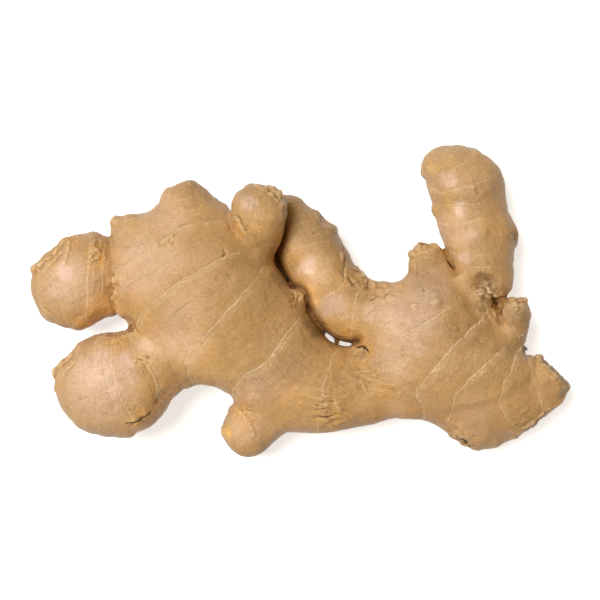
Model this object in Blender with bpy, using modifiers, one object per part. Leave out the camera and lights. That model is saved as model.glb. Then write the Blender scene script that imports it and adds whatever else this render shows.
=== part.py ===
"""A ginger rhizome, lying as it rests on a table: one solid of limbs that grew together.

Each limb is a tapered tube along a curved middle line, flattened a little from above, with a
round end. The limbs are joined by a voxel remesh and smoothed so that they grow out of each
other. Then the broken ends, the slit between the trunk and the back finger, and the small
faces that it rests on are cut. The frame has +X along the rhizome, +Y towards the upright
finger and +Z up from the table, with the origin under the middle of the box around it.
"""

import bpy
import bmesh
from mathutils import Matrix, Vector

MM = 0.001
NODE_NAME = "ginger_rhizome"

# Limbs: flatness is height over width. A station is (x, y, z, radius) in millimetres, and the
# first one is the limb's free end.
LIMBS = {
    "trunk": (0.74, [
        (-43, 14, 15, 12),
        (-37, 9, 15.5, 16.5),
        (-27, 1, 16.5, 21.2),
        (-14.5, -10, 16, 17.5),
        (-1, -23.2, 14.5, 15.4),
        (13, -25.5, 13.5, 12.3),
        (26, -24.5, 13, 10.5),
    ]),
    "left_shoulder": (0.8, [
        (-43.5, 3, 14.5, 11),
        (-33, -1.5, 15.5, 15),
    ]),
    "crown_corner": (0.9, [
        (-52.6, 22.1, 12.5, 3),
        (-48.3, 19.3, 13.5, 5.8),
        (-42.5, 14.5, 14.5, 10),
    ]),
    "crown_bump": (0.85, [
        (-32.6, 26.4, 15, 8.2),
        (-30, 21, 15.5, 11),
        (-27, 11, 16.5, 16),
    ]),
    "left_upper_lobe": (0.95, [
        (-65.5, 4.6, 12, 13.1),
        (-61.5, 6, 12.5, 13.2),
        (-56, 7, 13.5, 11.2),
        (-49, 7.5, 15, 11),
    ]),
    "left_lower_lobe": (0.93, [
        (-57.3, -25.3, 12.4, 14.4),
        (-51.5, -24.3, 13.4, 15.9),
        (-43.5, -19, 14.5, 12),
        (-37, -16, 14.5, 10.5),
        (-28, -11.5, 15, 13.8),
    ]),
    "front_knob": (1.0, [
        (-11.2, 24.6, 22.5, 8.6),
        (-12.5, 19.5, 20.5, 7.7),
        (-15.5, 14, 17, 7.3),
    ]),
    "back_finger": (1.0, [
        (-2.8, 23.3, 7.8, 7.6),
        (1.3, 17.2, 10, 9.6),
        (3.5, 10, 11.7, 11.7),
        (8, 2.5, 11.2, 10.7),
        (14, -2.8, 11.5, 10),
        (23, -6.2, 13, 11.2),
    ]),
    "slit_bud": (1.0, [
        (-1, 0, 18, 3),
        (-3.5, -3.5, 16.5, 4),
    ]),
    "right_body": (0.68, [
        (27, -14.5, 14, 20.2),
        (38, -15, 13.6, 19.6),
        (49.5, -19.5, 12.6, 19.8),
        (60.5, -25.7, 12, 15.6),
        (69, -26.3, 11.5, 10.2),
    ]),
    "right_corner": (0.8, [
        (53.2, -35.2, 9, 9.8),
        (50, -24, 12, 16.2),
    ]),
    "stub": (0.9, [
        (36.8, 12, 15.5, 5.6),
        (37.2, 6, 15, 5.8),
        (38, -2.5, 14.5, 11),
    ]),
    "upright_finger": (1.0, [
        (42.8, 38.8, 7.2, 7.1),
        (48, 34.3, 10.3, 11.2),
        (50.2, 27, 10.9, 11),
        (51.8, 19, 11.7, 10.5),
        (52.7, 11, 13.2, 9.4),
        (54.3, 6, 14.5, 7.5),
    ]),
    "finger_neck": (1.0, [
        (54, 4, 14, 4.3),
        (53.5, -3, 14, 7),
    ]),
    "finger_right_bud": (1.0, [
        (61.8, 18, 12, 2.8),
        (58, 17, 12, 3.3),
    ]),
    "finger_left_bud": (1.0, [
        (39.5, 26, 11.5, 2),
        (43, 25.5, 11.5, 3),
    ]),
    "right_bud": (1.0, [
        (62.5, -4.5, 14.5, 5.1),
        (61.5, -9, 14, 5.4),
        (59, -15.5, 13.5, 6.8),
    ]),
    "lower_knob": (0.9, [
        (-15, -37.7, 9.5, 8.1),
        (-11.5, -33.5, 11.5, 8.6),
        (-6, -26.5, 14, 9.5),
    ]),
}

# Faces left where pieces broke away: (point on the face, direction that it looks in, side of the
# block that cuts it), in millimetres.
BROKEN_FACES = {
    "broken_tip": ((73.3, -20, 13), (0.68, 0.7, 0.2), 17),
    "broken_tip_side": ((70, -34.5, 12), (0.61, -0.78, 0.15), 30),
    "broken_stub": ((35.4, 16.3, 15), (-0.08, 0.95, 0.3), 8),
    "broken_knob": ((-21.2, -35.5, 14), (-0.8, 0.2, 0.56), 9),
}

# The slit goes right through between the trunk and the back finger.
SLIT_MIDDLE = (11.1, -12.5)
SLIT_LENGTH, SLIT_WIDTH = 8.6, 1.5
SLIT_TURN = -0.22
SLIT_SIDES = 20

HEIGHT_LIMIT = 50 * MM
FLOOR_SPAN = 220 * MM

STEPS_PER_STATION = 6
TUBE_RESOLUTION = 5
BALL_SEGMENTS = 24

VOXEL = 1.3 * MM
SMOOTH_FACTOR = 0.5
SMOOTH_ROUNDS = 5
KEPT_SHARE_OF_FACES = 0.15


def clear_scene():
    for thing in list(bpy.data.objects):
        bpy.data.objects.remove(thing)


def new_collection(name):
    collection = bpy.data.collections.new(name)
    bpy.context.scene.collection.children.link(collection)
    return collection


def limb_tube(name, flatness, stations):
    """A curve through the stations, as thick as their radii. Its height is scaled to flatness."""
    curve = bpy.data.curves.new(name, "CURVE")
    curve.dimensions = "3D"
    curve.bevel_depth = MM
    curve.bevel_resolution = TUBE_RESOLUTION
    curve.use_fill_caps = True
    spline = curve.splines.new("BEZIER")
    spline.resolution_u = STEPS_PER_STATION
    spline.radius_interpolation = "CARDINAL"
    spline.bezier_points.add(len(stations) - 1)
    for point, (x, y, z, radius) in zip(spline.bezier_points, stations):
        point.co = Vector((x, y, z / flatness)) * MM
        point.radius = radius
        point.handle_left_type = "AUTO"
        point.handle_right_type = "AUTO"
    tube = bpy.data.objects.new(name, curve)
    tube.scale.z = flatness
    return tube


def add_tube(solid, tube, collection):
    """Adds the tube's evaluated mesh to the bmesh, in world space, and removes the tube."""
    collection.objects.link(tube)
    bpy.context.view_layer.update()
    graph = bpy.context.evaluated_depsgraph_get()
    mesh = bpy.data.meshes.new_from_object(tube.evaluated_get(graph))
    mesh.transform(tube.matrix_world)
    solid.from_mesh(mesh)
    bpy.data.meshes.remove(mesh)
    bpy.data.objects.remove(tube)


def add_ball(solid, flatness, station):
    """Adds the round end of a limb at one station."""
    x, y, z, radius = station
    place = Matrix.Translation(Vector((x, y, z)) * MM) @ Matrix.Diagonal((1, 1, flatness, 1))
    bmesh.ops.create_uvsphere(
        solid,
        u_segments=BALL_SEGMENTS,
        v_segments=BALL_SEGMENTS // 2,
        radius=radius * MM,
        matrix=place,
    )


def limbs_mesh(collection):
    """All limbs in one mesh, still overlapping."""
    solid = bmesh.new()
    for name, (flatness, stations) in LIMBS.items():
        add_tube(solid, limb_tube(name, flatness, stations), collection)
        add_ball(solid, flatness, stations[0])
        add_ball(solid, flatness, stations[-1])
    bmesh.ops.remove_doubles(solid, verts=solid.verts, dist=0.001 * MM)
    bmesh.ops.recalc_face_normals(solid, faces=solid.faces)
    mesh = bpy.data.meshes.new(NODE_NAME)
    solid.to_mesh(mesh)
    solid.free()
    return mesh


def grow_together(rhizome):
    """One skin round all limbs, with the creases between them softened."""
    remesh = rhizome.modifiers.new("one_skin", "REMESH")
    remesh.mode = "VOXEL"
    remesh.voxel_size = VOXEL
    smooth = rhizome.modifiers.new("soft_joins", "SMOOTH")
    smooth.factor = SMOOTH_FACTOR
    smooth.iterations = SMOOTH_ROUNDS
    decimate = rhizome.modifiers.new("fewer_faces", "DECIMATE")
    decimate.ratio = KEPT_SHARE_OF_FACES


def new_cutter(name, shape, place, cutters):
    """A hidden object with the shape's mesh, moved into place."""
    mesh = bpy.data.meshes.new(name)
    shape.to_mesh(mesh)
    shape.free()
    mesh.transform(place)
    cutter = bpy.data.objects.new(name, mesh)
    cutter.hide_render = True
    cutter.display_type = "WIRE"
    cutters.objects.link(cutter)
    return cutter


def floor_cutter(cutters):
    """Everything under the table's surface."""
    block = bmesh.new()
    bmesh.ops.create_cube(block, size=1)
    place = Matrix.Translation((0, 0, -HEIGHT_LIMIT / 2))
    place = place @ Matrix.Diagonal((FLOOR_SPAN, FLOOR_SPAN, HEIGHT_LIMIT, 1))
    return new_cutter("table", block, place, cutters)


def break_cutter(name, point, direction, side, cutters):
    """A cube with its lower face on the broken face."""
    block = bmesh.new()
    bmesh.ops.create_cube(block, size=side * MM)
    turn = Vector(direction).to_track_quat("Z", "Y").to_matrix().to_4x4()
    place = Matrix.Translation(Vector(point) * MM) @ turn
    place = place @ Matrix.Translation((0, 0, side * MM / 2))
    return new_cutter(name, block, place, cutters)


def slit_cutter(cutters):
    """An upright blade with an oval section."""
    blade = bmesh.new()
    bmesh.ops.create_cone(
        blade,
        cap_ends=True,
        segments=SLIT_SIDES,
        radius1=MM / 2,
        radius2=MM / 2,
        depth=2 * HEIGHT_LIMIT,
    )
    x, y = SLIT_MIDDLE
    place = Matrix.Translation((x * MM, y * MM, 0)) @ Matrix.Rotation(SLIT_TURN, 4, "Z")
    place = place @ Matrix.Diagonal((SLIT_LENGTH, SLIT_WIDTH, 1, 1))
    return new_cutter("slit", blade, place, cutters)


def cut(rhizome, cutter):
    boolean = rhizome.modifiers.new("cut_" + cutter.name, "BOOLEAN")
    boolean.operation = "DIFFERENCE"
    boolean.solver = "EXACT"
    boolean.object = cutter


def centre_on_origin(rhizome, things):
    """Puts the middle of the rhizome's box over the origin, with all that cuts it."""
    bpy.context.view_layer.update()
    graph = bpy.context.evaluated_depsgraph_get()
    corners = [Vector(corner) for corner in rhizome.evaluated_get(graph).bound_box]
    middle = (corners[0] + corners[6]) / 2
    holder = bpy.data.objects.new("box_middle", None)
    bpy.context.scene.collection.objects.link(holder)
    holder.location = (-middle.x, -middle.y, 0)
    for thing in things:
        thing.parent = holder


def skin_material():
    material = bpy.data.materials.new("ginger_skin")
    material.use_nodes = True
    shader = material.node_tree.nodes["Principled BSDF"]
    shader.inputs["Base Color"].default_value = (0.56, 0.34, 0.15, 1.0)
    shader.inputs["Roughness"].default_value = 0.55
    shader.inputs["Metallic"].default_value = 0.0
    return material


def main():
    clear_scene()
    parts = new_collection(NODE_NAME)
    cutters = new_collection("cutters")
    rhizome = bpy.data.objects.new(NODE_NAME, limbs_mesh(parts))
    parts.objects.link(rhizome)
    rhizome.data.materials.append(skin_material())
    grow_together(rhizome)
    tools = [break_cutter(name, *face, cutters) for name, face in BROKEN_FACES.items()]
    tools += [slit_cutter(cutters), floor_cutter(cutters)]
    for tool in tools:
        cut(rhizome, tool)
    centre_on_origin(rhizome, [rhizome, *tools])


main()
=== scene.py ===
"""Dresses a ginger rhizome for a studio picture.

The frame is one solid of limbs that grew together. This add-on grows the fine skin over the same
limbs: creases where two limbs press together, ring scars of the scale leaves, cracks, wrinkles,
pits and papery rags. It then lights it on a pale floor, seen from straight above. Tables hold
millimetres; everything in the scene is in metres, in the frame's own axes.
"""

import bmesh
import bpy
import numpy as np
from bpy.props import FloatProperty, FloatVectorProperty, IntProperty, PointerProperty
from mathutils import Matrix, Vector


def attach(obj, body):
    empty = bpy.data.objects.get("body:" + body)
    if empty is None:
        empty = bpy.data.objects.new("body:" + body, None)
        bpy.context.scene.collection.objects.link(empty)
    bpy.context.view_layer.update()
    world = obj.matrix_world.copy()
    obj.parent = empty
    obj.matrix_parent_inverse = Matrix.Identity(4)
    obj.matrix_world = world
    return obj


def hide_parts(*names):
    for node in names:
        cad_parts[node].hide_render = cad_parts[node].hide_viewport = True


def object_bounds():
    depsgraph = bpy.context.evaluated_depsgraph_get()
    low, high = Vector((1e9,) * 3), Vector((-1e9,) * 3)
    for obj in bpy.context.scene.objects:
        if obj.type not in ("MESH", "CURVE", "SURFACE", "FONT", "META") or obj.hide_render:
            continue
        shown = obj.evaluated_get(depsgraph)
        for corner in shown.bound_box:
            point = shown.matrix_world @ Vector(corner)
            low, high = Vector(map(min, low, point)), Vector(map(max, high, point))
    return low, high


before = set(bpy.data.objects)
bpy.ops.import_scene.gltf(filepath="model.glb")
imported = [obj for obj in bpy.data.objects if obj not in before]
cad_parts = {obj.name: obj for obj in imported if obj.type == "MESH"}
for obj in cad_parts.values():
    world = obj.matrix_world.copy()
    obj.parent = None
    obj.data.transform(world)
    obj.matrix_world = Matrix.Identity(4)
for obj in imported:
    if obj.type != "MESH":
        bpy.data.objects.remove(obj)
CAD_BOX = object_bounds()

bl_info = {
    "name": "Ginger Rhizome",
    "version": (1, 0, 0),
    "blender": (4, 5, 0),
    "location": "3D View > Sidebar > Ginger",
    "description": "Grows the ringed, papery skin of a ginger rhizome and lights it on a pale floor",
    "category": "Add Mesh",
}

MM = 0.001
NODE_NAME = "ginger_rhizome"
BODY = "root"
SKIN_NAME = "ginger_rhizome_skin"
RAGS_NAME = "ginger_rhizome_rags"

# What starts all chance. Each kind of noise or choice adds a number of its own.
SEED = 7

# Limbs in the order in which they join: region, flatness (height over width), how far the skin
# rounds the crease towards the limbs before it, and stations. A station is (x, y, z, radius), and
# the first one is the limb's free end. All lengths are in millimetres.
LIMBS = {
    "trunk": ("trunk", 0.74, 0, [
        (-43, 14, 15, 12),
        (-37, 9, 15.5, 16.5),
        (-27, 1, 16.5, 21.2),
        (-14.5, -10, 16, 17.5),
        (-1, -23.2, 14.5, 15.2),
        (13, -25.6, 13.5, 12.2),
        (26, -24.2, 13, 10.2),
    ]),
    "left_shoulder": ("trunk", 0.8, 6, [
        (-43.5, 3, 14.5, 11),
        (-33, -1.5, 15.5, 15),
    ]),
    "crown_corner": ("trunk", 0.9, 4, [
        (-51.4, 20.8, 13, 3.6),
        (-47, 19.9, 14, 4.5),
        (-42.5, 16.5, 14.5, 8.7),
    ]),
    "crown_bump": ("trunk", 0.85, 5, [
        (-32.6, 26.4, 15, 8.2),
        (-29.6, 21, 15.5, 10.6),
        (-27, 11, 16.5, 15),
    ]),
    "left_lower_lobe": ("lower_lobe", 0.93, 4, [
        (-57, -24.7, 12.4, 14.3),
        (-52, -24.5, 13.4, 15.1),
        (-43.5, -19, 14.5, 11.8),
        (-37, -16, 14.5, 10.3),
        (-28, -11.5, 15, 13.8),
    ]),
    "left_upper_lobe": ("upper_lobe", 0.86, 2, [
        (-65.5, 4.6, 11.3, 13.1),
        (-61.3, 6.5, 11.3, 13),
        (-56, 7.2, 10.4, 10.9),
        (-50, 7.5, 10.4, 9),
    ]),
    "front_knob": ("knob", 1.0, 3, [
        (-11.6, 24.8, 21.7, 8.4),
        (-12.5, 19.5, 20, 7.6),
        (-15.5, 14, 17, 7.3),
    ]),
    "lower_knob": ("low_knob", 0.9, 3.5, [
        (-14.8, -37.5, 9.5, 8.5),
        (-11.7, -33.5, 11.5, 8.5),
        (-6, -26.5, 14, 9.5),
    ]),
    "slit_floor": ("trunk", 1.0, 1, [
        (-9.5, 14.5, 6, 4.5),
        (-7, 8, 6, 4.5),
        (1.5, -4, 5.5, 4),
        (5.3, -9.1, 5.5, 2.6),
    ]),
    "slit_bud": ("trunk", 1.0, 1.5, [
        (-0.8, 0.9, 17.5, 2.5),
        (-1.4, -2.2, 17, 3.1),
        (-4.5, -5, 15.5, 4),
    ]),
    "right_body": ("body", 0.68, 4.5, [
        (31.6, -13.5, 14, 15.2),
        (37, -15, 13.8, 19.3),
        (48, -18.5, 12.8, 17.6),
        (60, -27.4, 12, 13.1),
        (69, -26, 11.5, 9.6),
    ]),
    "right_corner": ("body", 0.8, 5, [
        (53.2, -35.2, 9, 9.4),
        (50, -24, 12, 15.5),
    ]),
    "saddle": ("body", 0.9, 4, [
        (20.5, -1.6, 12.5, 6.5),
        (31, -2, 14, 6.8),
    ]),
    "stub": ("body", 0.9, 5, [
        (35.5, 12, 15.5, 4.6),
        (35.9, 6, 15, 5),
        (38, -2.5, 14.5, 11),
    ]),
    "stub_corner": ("body", 0.9, 3, [
        (38.4, 12.2, 14.5, 4),
        (41.5, 7, 14, 5.4),
        (45.5, 2, 14, 6),
    ]),
    "finger_neck": ("body", 1.0, 3, [
        (53.4, 4, 14, 4.2),
        (52.3, -3, 14, 5.8),
    ]),
    "right_bud": ("bud", 1.0, 1.6, [
        (62, -4.1, 16.4, 4.9),
        (61, -9, 15.6, 4.8),
        (57.6, -15.5, 14, 6),
    ]),
    "back_finger": ("back", 1.0, 6, [
        (-3.2, 23.6, 7.8, 7.8),
        (1.5, 17.3, 10, 9.5),
        (5, 10.4, 11.2, 10),
        (9.2, 3.3, 11.2, 9.9),
        (14.3, -2.6, 11.4, 9.8),
        (22, -5, 12.6, 8.4),
    ]),
    "slit_bridge": ("back", 1.0, 0.4, [
        (10.1, -10.6, 11.5, 0.6),
        (10.5, -13.6, 12, 0.6),
    ]),
    "upright_finger": ("upright", 1.0, 4, [
        (42.9, 38.7, 7.2, 7),
        (48.2, 34, 10.3, 11),
        (50.2, 27, 10.9, 10.9),
        (51.7, 19, 11.7, 10.5),
        (52.6, 11, 13.2, 9.4),
        (54.2, 6.2, 14.5, 7.5),
    ]),
    "finger_heel": ("upright", 1.0, 1.5, [
        (57.4, 4.1, 15.5, 3.6),
        (55.5, 9, 14.5, 6.2),
    ]),
    "finger_right_bud": ("upright", 1.0, 1.6, [
        (61.2, 17.6, 12, 2.3),
        (60.6, 20.8, 12, 2.3),
        (58.5, 23.5, 12, 2.4),
    ]),
    "finger_left_bud": ("upright", 1.0, 1.6, [
        (39.9, 26.2, 11.5, 1.9),
        (43, 26, 11.5, 3),
    ]),
}

# Lines (x, y) along which a limb presses against its neighbours without growing into them: the
# limb, the width of the crease's round, how far that reaches to both sides, how dark the painted
# shade in the crease is, and the line, in millimetres.
CREASES = [
    ("back_finger", 0.4, 5, 1, [(-2, 32), (-4, 24), (-7, 16), (-5, 8), (-0.5, 3), (3.5, -5),
                                (8.5, -11), (14.5, -13)]),
    ("front_knob", 1.2, 4, 0.5, [(-20, 26), (-17, 20), (-14, 16.5)]),
    ("upright_finger", 0.5, 3, 0.6, [(40.5, 17), (42.4, 12.5), (44.2, 9)]),
    ("upright_finger", 0.6, 3, 0.3, [(52.6, 2.4), (54.5, 1.2), (57, 0.4), (61, 0.6)]),
    ("right_bud", 0.6, 3, 0.7, [(59.5, 0.8), (57.8, -1.5), (57.4, -5)]),
    ("left_upper_lobe", 0.8, 5, 0.3, [(-57, 19), (-55, 13), (-54.5, 7), (-54.5, 1), (-53, -4)]),
    ("left_upper_lobe", 0.8, 4, 0.6, [(-50, -7), (-46, -8.5)]),
]
# Regions that overlook their creases, so that the painted shade of these creases is paler on them.
LIT_REGIONS = ("trunk", "knob", "upright", "bud")
LIT_SHARE = 0.35

# Faces left where pieces broke away: (point on the face, direction that it looks in, side of the
# block that cuts it), in millimetres.
BROKEN_FACES = {
    "broken_tip": ((72.85, -20.4, 13), (0.68, 0.7, 0.2), 17),
    "broken_tip_side": ((70, -34.5, 12), (0.61, -0.78, 0.15), 30),
    "broken_stub": ((35.4, 16.3, 15), (-0.08, 0.95, 0.3), 8),
    "broken_knob": ((-21.8, -35.5, 14), (-0.8, 0.2, 0.56), 9),
}

# The block that trims everything under the table's surface.
TABLE_DEPTH = 50
TABLE_SPAN = 220

# How the skin is pulled onto the joined limbs: the rounds of pulling and evening, and the longest
# way that a point moves in one of them and in the last pull.
FIT_ROUNDS = 4
LONGEST_PULL = 0.6
LAST_PULL = 0.5

# Ring scars of the scale leaves: the regions that they run round, strength at the start and the
# end, and points (x, y) seen from above, in millimetres.
RINGS = [
    ("trunk", 0.9, 0.5, [(-54.5, 7.5), (-51, 9.5), (-47, 11.5), (-42.5, 14.5), (-38.5, 17.5),
                         (-34, 20), (-27, 22), (-20, 23)]),
    ("trunk lower_lobe", 1, 0.5, [(-48.5, -10), (-44, -3), (-40, 0), (-35, 4.3), (-29, 7.5),
                                  (-24, 10.5), (-15, 15)]),
    ("trunk lower_lobe", 1, 0.4, [(-30.5, -28), (-31.5, -21), (-32.3, -17), (-28.5, -12.5),
                                  (-24.5, -8), (-18.5, -1.5), (-13.5, 4.5), (-9, 11)]),
    ("trunk", 0.8, 1, [(-20.5, -31), (-17, -23), (-11, -19), (-7, -15), (-4, -10.5), (1, -4.5)]),
    ("trunk", 0.35, 0.4, [(5, -39), (6, -28), (8.3, -18.5), (11.5, -13)]),
    ("trunk", 0.2, 0.15, [(-43, 26), (-43.8, 22), (-42.5, 18.3), (-40, 16)]),
    ("trunk", 0.2, 0.15, [(-50.5, 25.5), (-49.5, 21), (-47, 18.5), (-43.5, 17.5)]),
    ("lower_lobe", 0.2, 0.6, [(-57, -41), (-57.7, -30), (-58.6, -22), (-58.7, -16), (-57.5, -7)]),
    ("lower_lobe", 0.4, 0.6, [(-45.5, -39), (-48, -33), (-51, -26), (-53, -19.5), (-53.8, -14),
                              (-53.5, -7)]),
    ("lower_lobe", 0.3, 0.3, [(-46.3, -17.5), (-47.3, -14), (-49, -10)]),
    ("lower_lobe trunk", 0.9, 0.8, [(-38, -31), (-39.8, -26.5), (-41, -22), (-43.5, -18),
                                    (-46.5, -16.4)]),
    ("lower_lobe", 0.2, 0.35, [(-64, -38), (-66, -29), (-66.3, -22), (-64, -15), (-61, -10)]),
    ("lower_lobe", 0.2, 0.35, [(-70, -31), (-70.3, -25), (-69, -20), (-66.5, -15)]),
    ("upper_lobe", 0.3, 0.2, [(-66, -9), (-68.3, -3), (-69, 4), (-68.5, 11), (-66, 18.5)]),
    ("upper_lobe", 0.4, 0.3, [(-61.5, -8), (-61, -1), (-60.4, 8), (-60.3, 14), (-60.5, 20)]),
    ("upper_lobe", 0.25, 0.35, [(-72, -7), (-75, -2), (-75.8, 4), (-75, 9), (-72, 14)]),
    ("upper_lobe", 0.25, 0.25, [(-56.6, -5), (-56.4, 1), (-56.4, 9), (-56, 19)]),
    ("upright", 0.4, 0.08, [(35.5, 34.5), (40, 31.3), (44, 31.3), (49, 32.5), (54, 34.7),
                            (60, 37.5)]),
    ("upright", 0.22, 0.08, [(39, 22.5), (44, 21.5), (50, 22.5), (56, 24), (63, 26)]),
    ("upright", 0.4, 0.05, [(41, 15), (46, 12.8), (51, 13), (56, 12.5), (63, 12)]),
    ("upright", 0.3, 0.04, [(42, 11.5), (46, 9.5), (51, 9.3), (56, 9.8), (63, 10.5)]),
    ("upright", 0.3, 0.2, [(34.5, 40.5), (39, 37.8), (42.5, 37.2), (47, 39.5), (51.5, 44)]),
    ("upright", 0.2, 0.15, [(38, 27.8), (44, 27), (49.5, 27.6), (55, 29), (61, 31.5)]),
    ("body", 0.35, 0.7, [(24, -13.3), (29, -10), (35.5, -6.4), (40.5, -3.6), (45, -0.3), (47, 2)]),
    ("body", 0.8, 0.9, [(36.5, -38), (35.5, -31.4), (33.3, -27.3), (34, -24.8), (36.5, -21.5),
                        (40.5, -16.5), (45, -11.7), (49.7, -7.6), (54, -4)]),
    ("body", 0.5, 0.8, [(41, -36), (43.3, -32.6), (44.2, -28), (46.5, -24.5), (50, -21),
                        (54.1, -17.3), (59.5, -12.6)]),
    ("body bud", 0.35, 0.8, [(62.6, -37), (59.5, -34.5), (57.9, -30.9), (58, -24.5), (60.5, -20.4),
                             (62, -16), (64.5, -13)]),
    ("body", 0.35, 0.3, [(70.5, -37), (69.5, -29), (67.5, -23), (66, -15)]),
    ("back", 0.2, 0.3, [(-9, 8), (-2, 14), (3, 16), (8, 17), (14, 17.3)]),
    ("back", 0.3, 0.3, [(1, -9), (5, -2.3), (9, 1.8), (13.5, 4.3), (19, 6.8)]),
    ("back body", 0.3, 0.3, [(13.5, -14), (15, -8), (15.5, -2), (17, 2.5), (20.5, 6)]),
    ("back", 0.2, 0.2, [(-6, 21), (-1, 22), (4, 23.3), (9, 24)]),
    ("low_knob", 0.5, 0.4, [(-23, -35), (-17, -32.3), (-12.5, -33.3), (-9, -36), (-6, -41)]),
    ("knob", 0.4, 0.9, [(-13, 33.5), (-8, 31.5), (-5.5, 29), (-4.8, 26), (-5, 21), (-4, 18)]),
    ("bud", 0.5, 0.4, [(56.5, -8), (61.5, -9.8), (64.5, -9), (68, -7)]),
    ("bud", 0.5, 0.7, [(59, -1.5), (62, -0.9), (64.5, -2), (67.5, -4.5)]),
]

# Cracks on the upper side: width and depth in millimetres, then points (x, y) seen from above.
CRACKS = [
    (0.9, 0.9, [(-49.2, -35.3), (-46.5, -34.9), (-44.5, -33.8), (-42.5, -32.3)]),
    (0.5, 0.4, [(-46.6, -17.7), (-45.6, -16.9), (-44.4, -17.1), (-43, -16.2)]),
    (0.4, 0.35, [(-63, -28.2), (-61.8, -28.3), (-60.8, -27.7)]),
    (0.6, 0.5, [(-21.7, 11.9), (-21, 13.3), (-21.3, 14.2)]),
    (0.4, 0.4, [(-74.3, -2.3), (-73.2, -3.1), (-71.4, -4.4)]),
    (0.5, 0.6, [(35, 3.5), (35.5, 2.9)]),
    (0.35, 0.5, [(-18.6, 24), (-17, 22.4), (-16, 20), (-14.9, 18.3)]),
    (0.45, 0.5, [(12.5, 15.8), (13.3, 11), (12.4, 5.4)]),
    (0.7, 0.6, [(14.2, 6.6), (14.8, 5.2), (15.7, 4.1)]),
    (0.5, 0.5, [(20.3, -0.3), (21.6, 0.6), (22.2, 1.4)]),
    (0.5, 0.5, [(24.2, 1), (25, 2.2), (26.4, 2.8)]),
    (0.8, 0.6, [(10, -32.8), (7.6, -33.5), (5.2, -33.6)]),
    (0.35, 0.3, [(33.3, 10.8), (33.4, 7.8), (31.8, 6.2)]),
    (0.5, 0.4, [(34.8, 3.7), (35.3, 2.5)]),
    (0.6, 1.3, [(42.7, 12), (43.5, 10.5), (44.5, 8.8)]),
    (0.6, 0.9, [(55.2, 0.2), (56.6, -0.4), (57.7, -1.9), (57.7, -4.4)]),
    (0.9, 0.9, [(15.8, -13.1), (17.8, -13.5), (19.5, -15)]),
    (1.5, 0.9, [(45.8, -39.9), (47.8, -41.2), (49.8, -43.6)]),
    (0.6, 0.6, [(-49.4, -7.6), (-47.4, -8), (-46, -9.2)]),
    (0.35, 0.3, [(-48.3, -30), (-47.3, -33)]),
    (0.35, 0.3, [(-40.3, 15), (-39.8, 16)]),
    (0.35, 0.3, [(-38.6, 16), (-38.1, 17)]),
    (0.35, 0.3, [(-37, 16.8), (-36.6, 17.9)]),
    (0.35, 0.35, [(-35.6, 17.6), (-35.1, 18.8)]),
    (0.35, 0.3, [(-34.3, 18.5), (-33.8, 19.6)]),
    (0.35, 0.35, [(-35.4, 4), (-34.8, 5.2)]),
    (0.3, 0.3, [(-33.6, 5.4), (-33.2, 6.2)]),
    (0.3, 0.3, [(-31.4, 6.6), (-30.8, 7.3)]),
    (0.3, 0.3, [(-28.2, -12.3), (-27.6, -11.6)]),
    (0.3, 0.3, [(-17.6, 10), (-17.2, 10.8)]),
]

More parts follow.
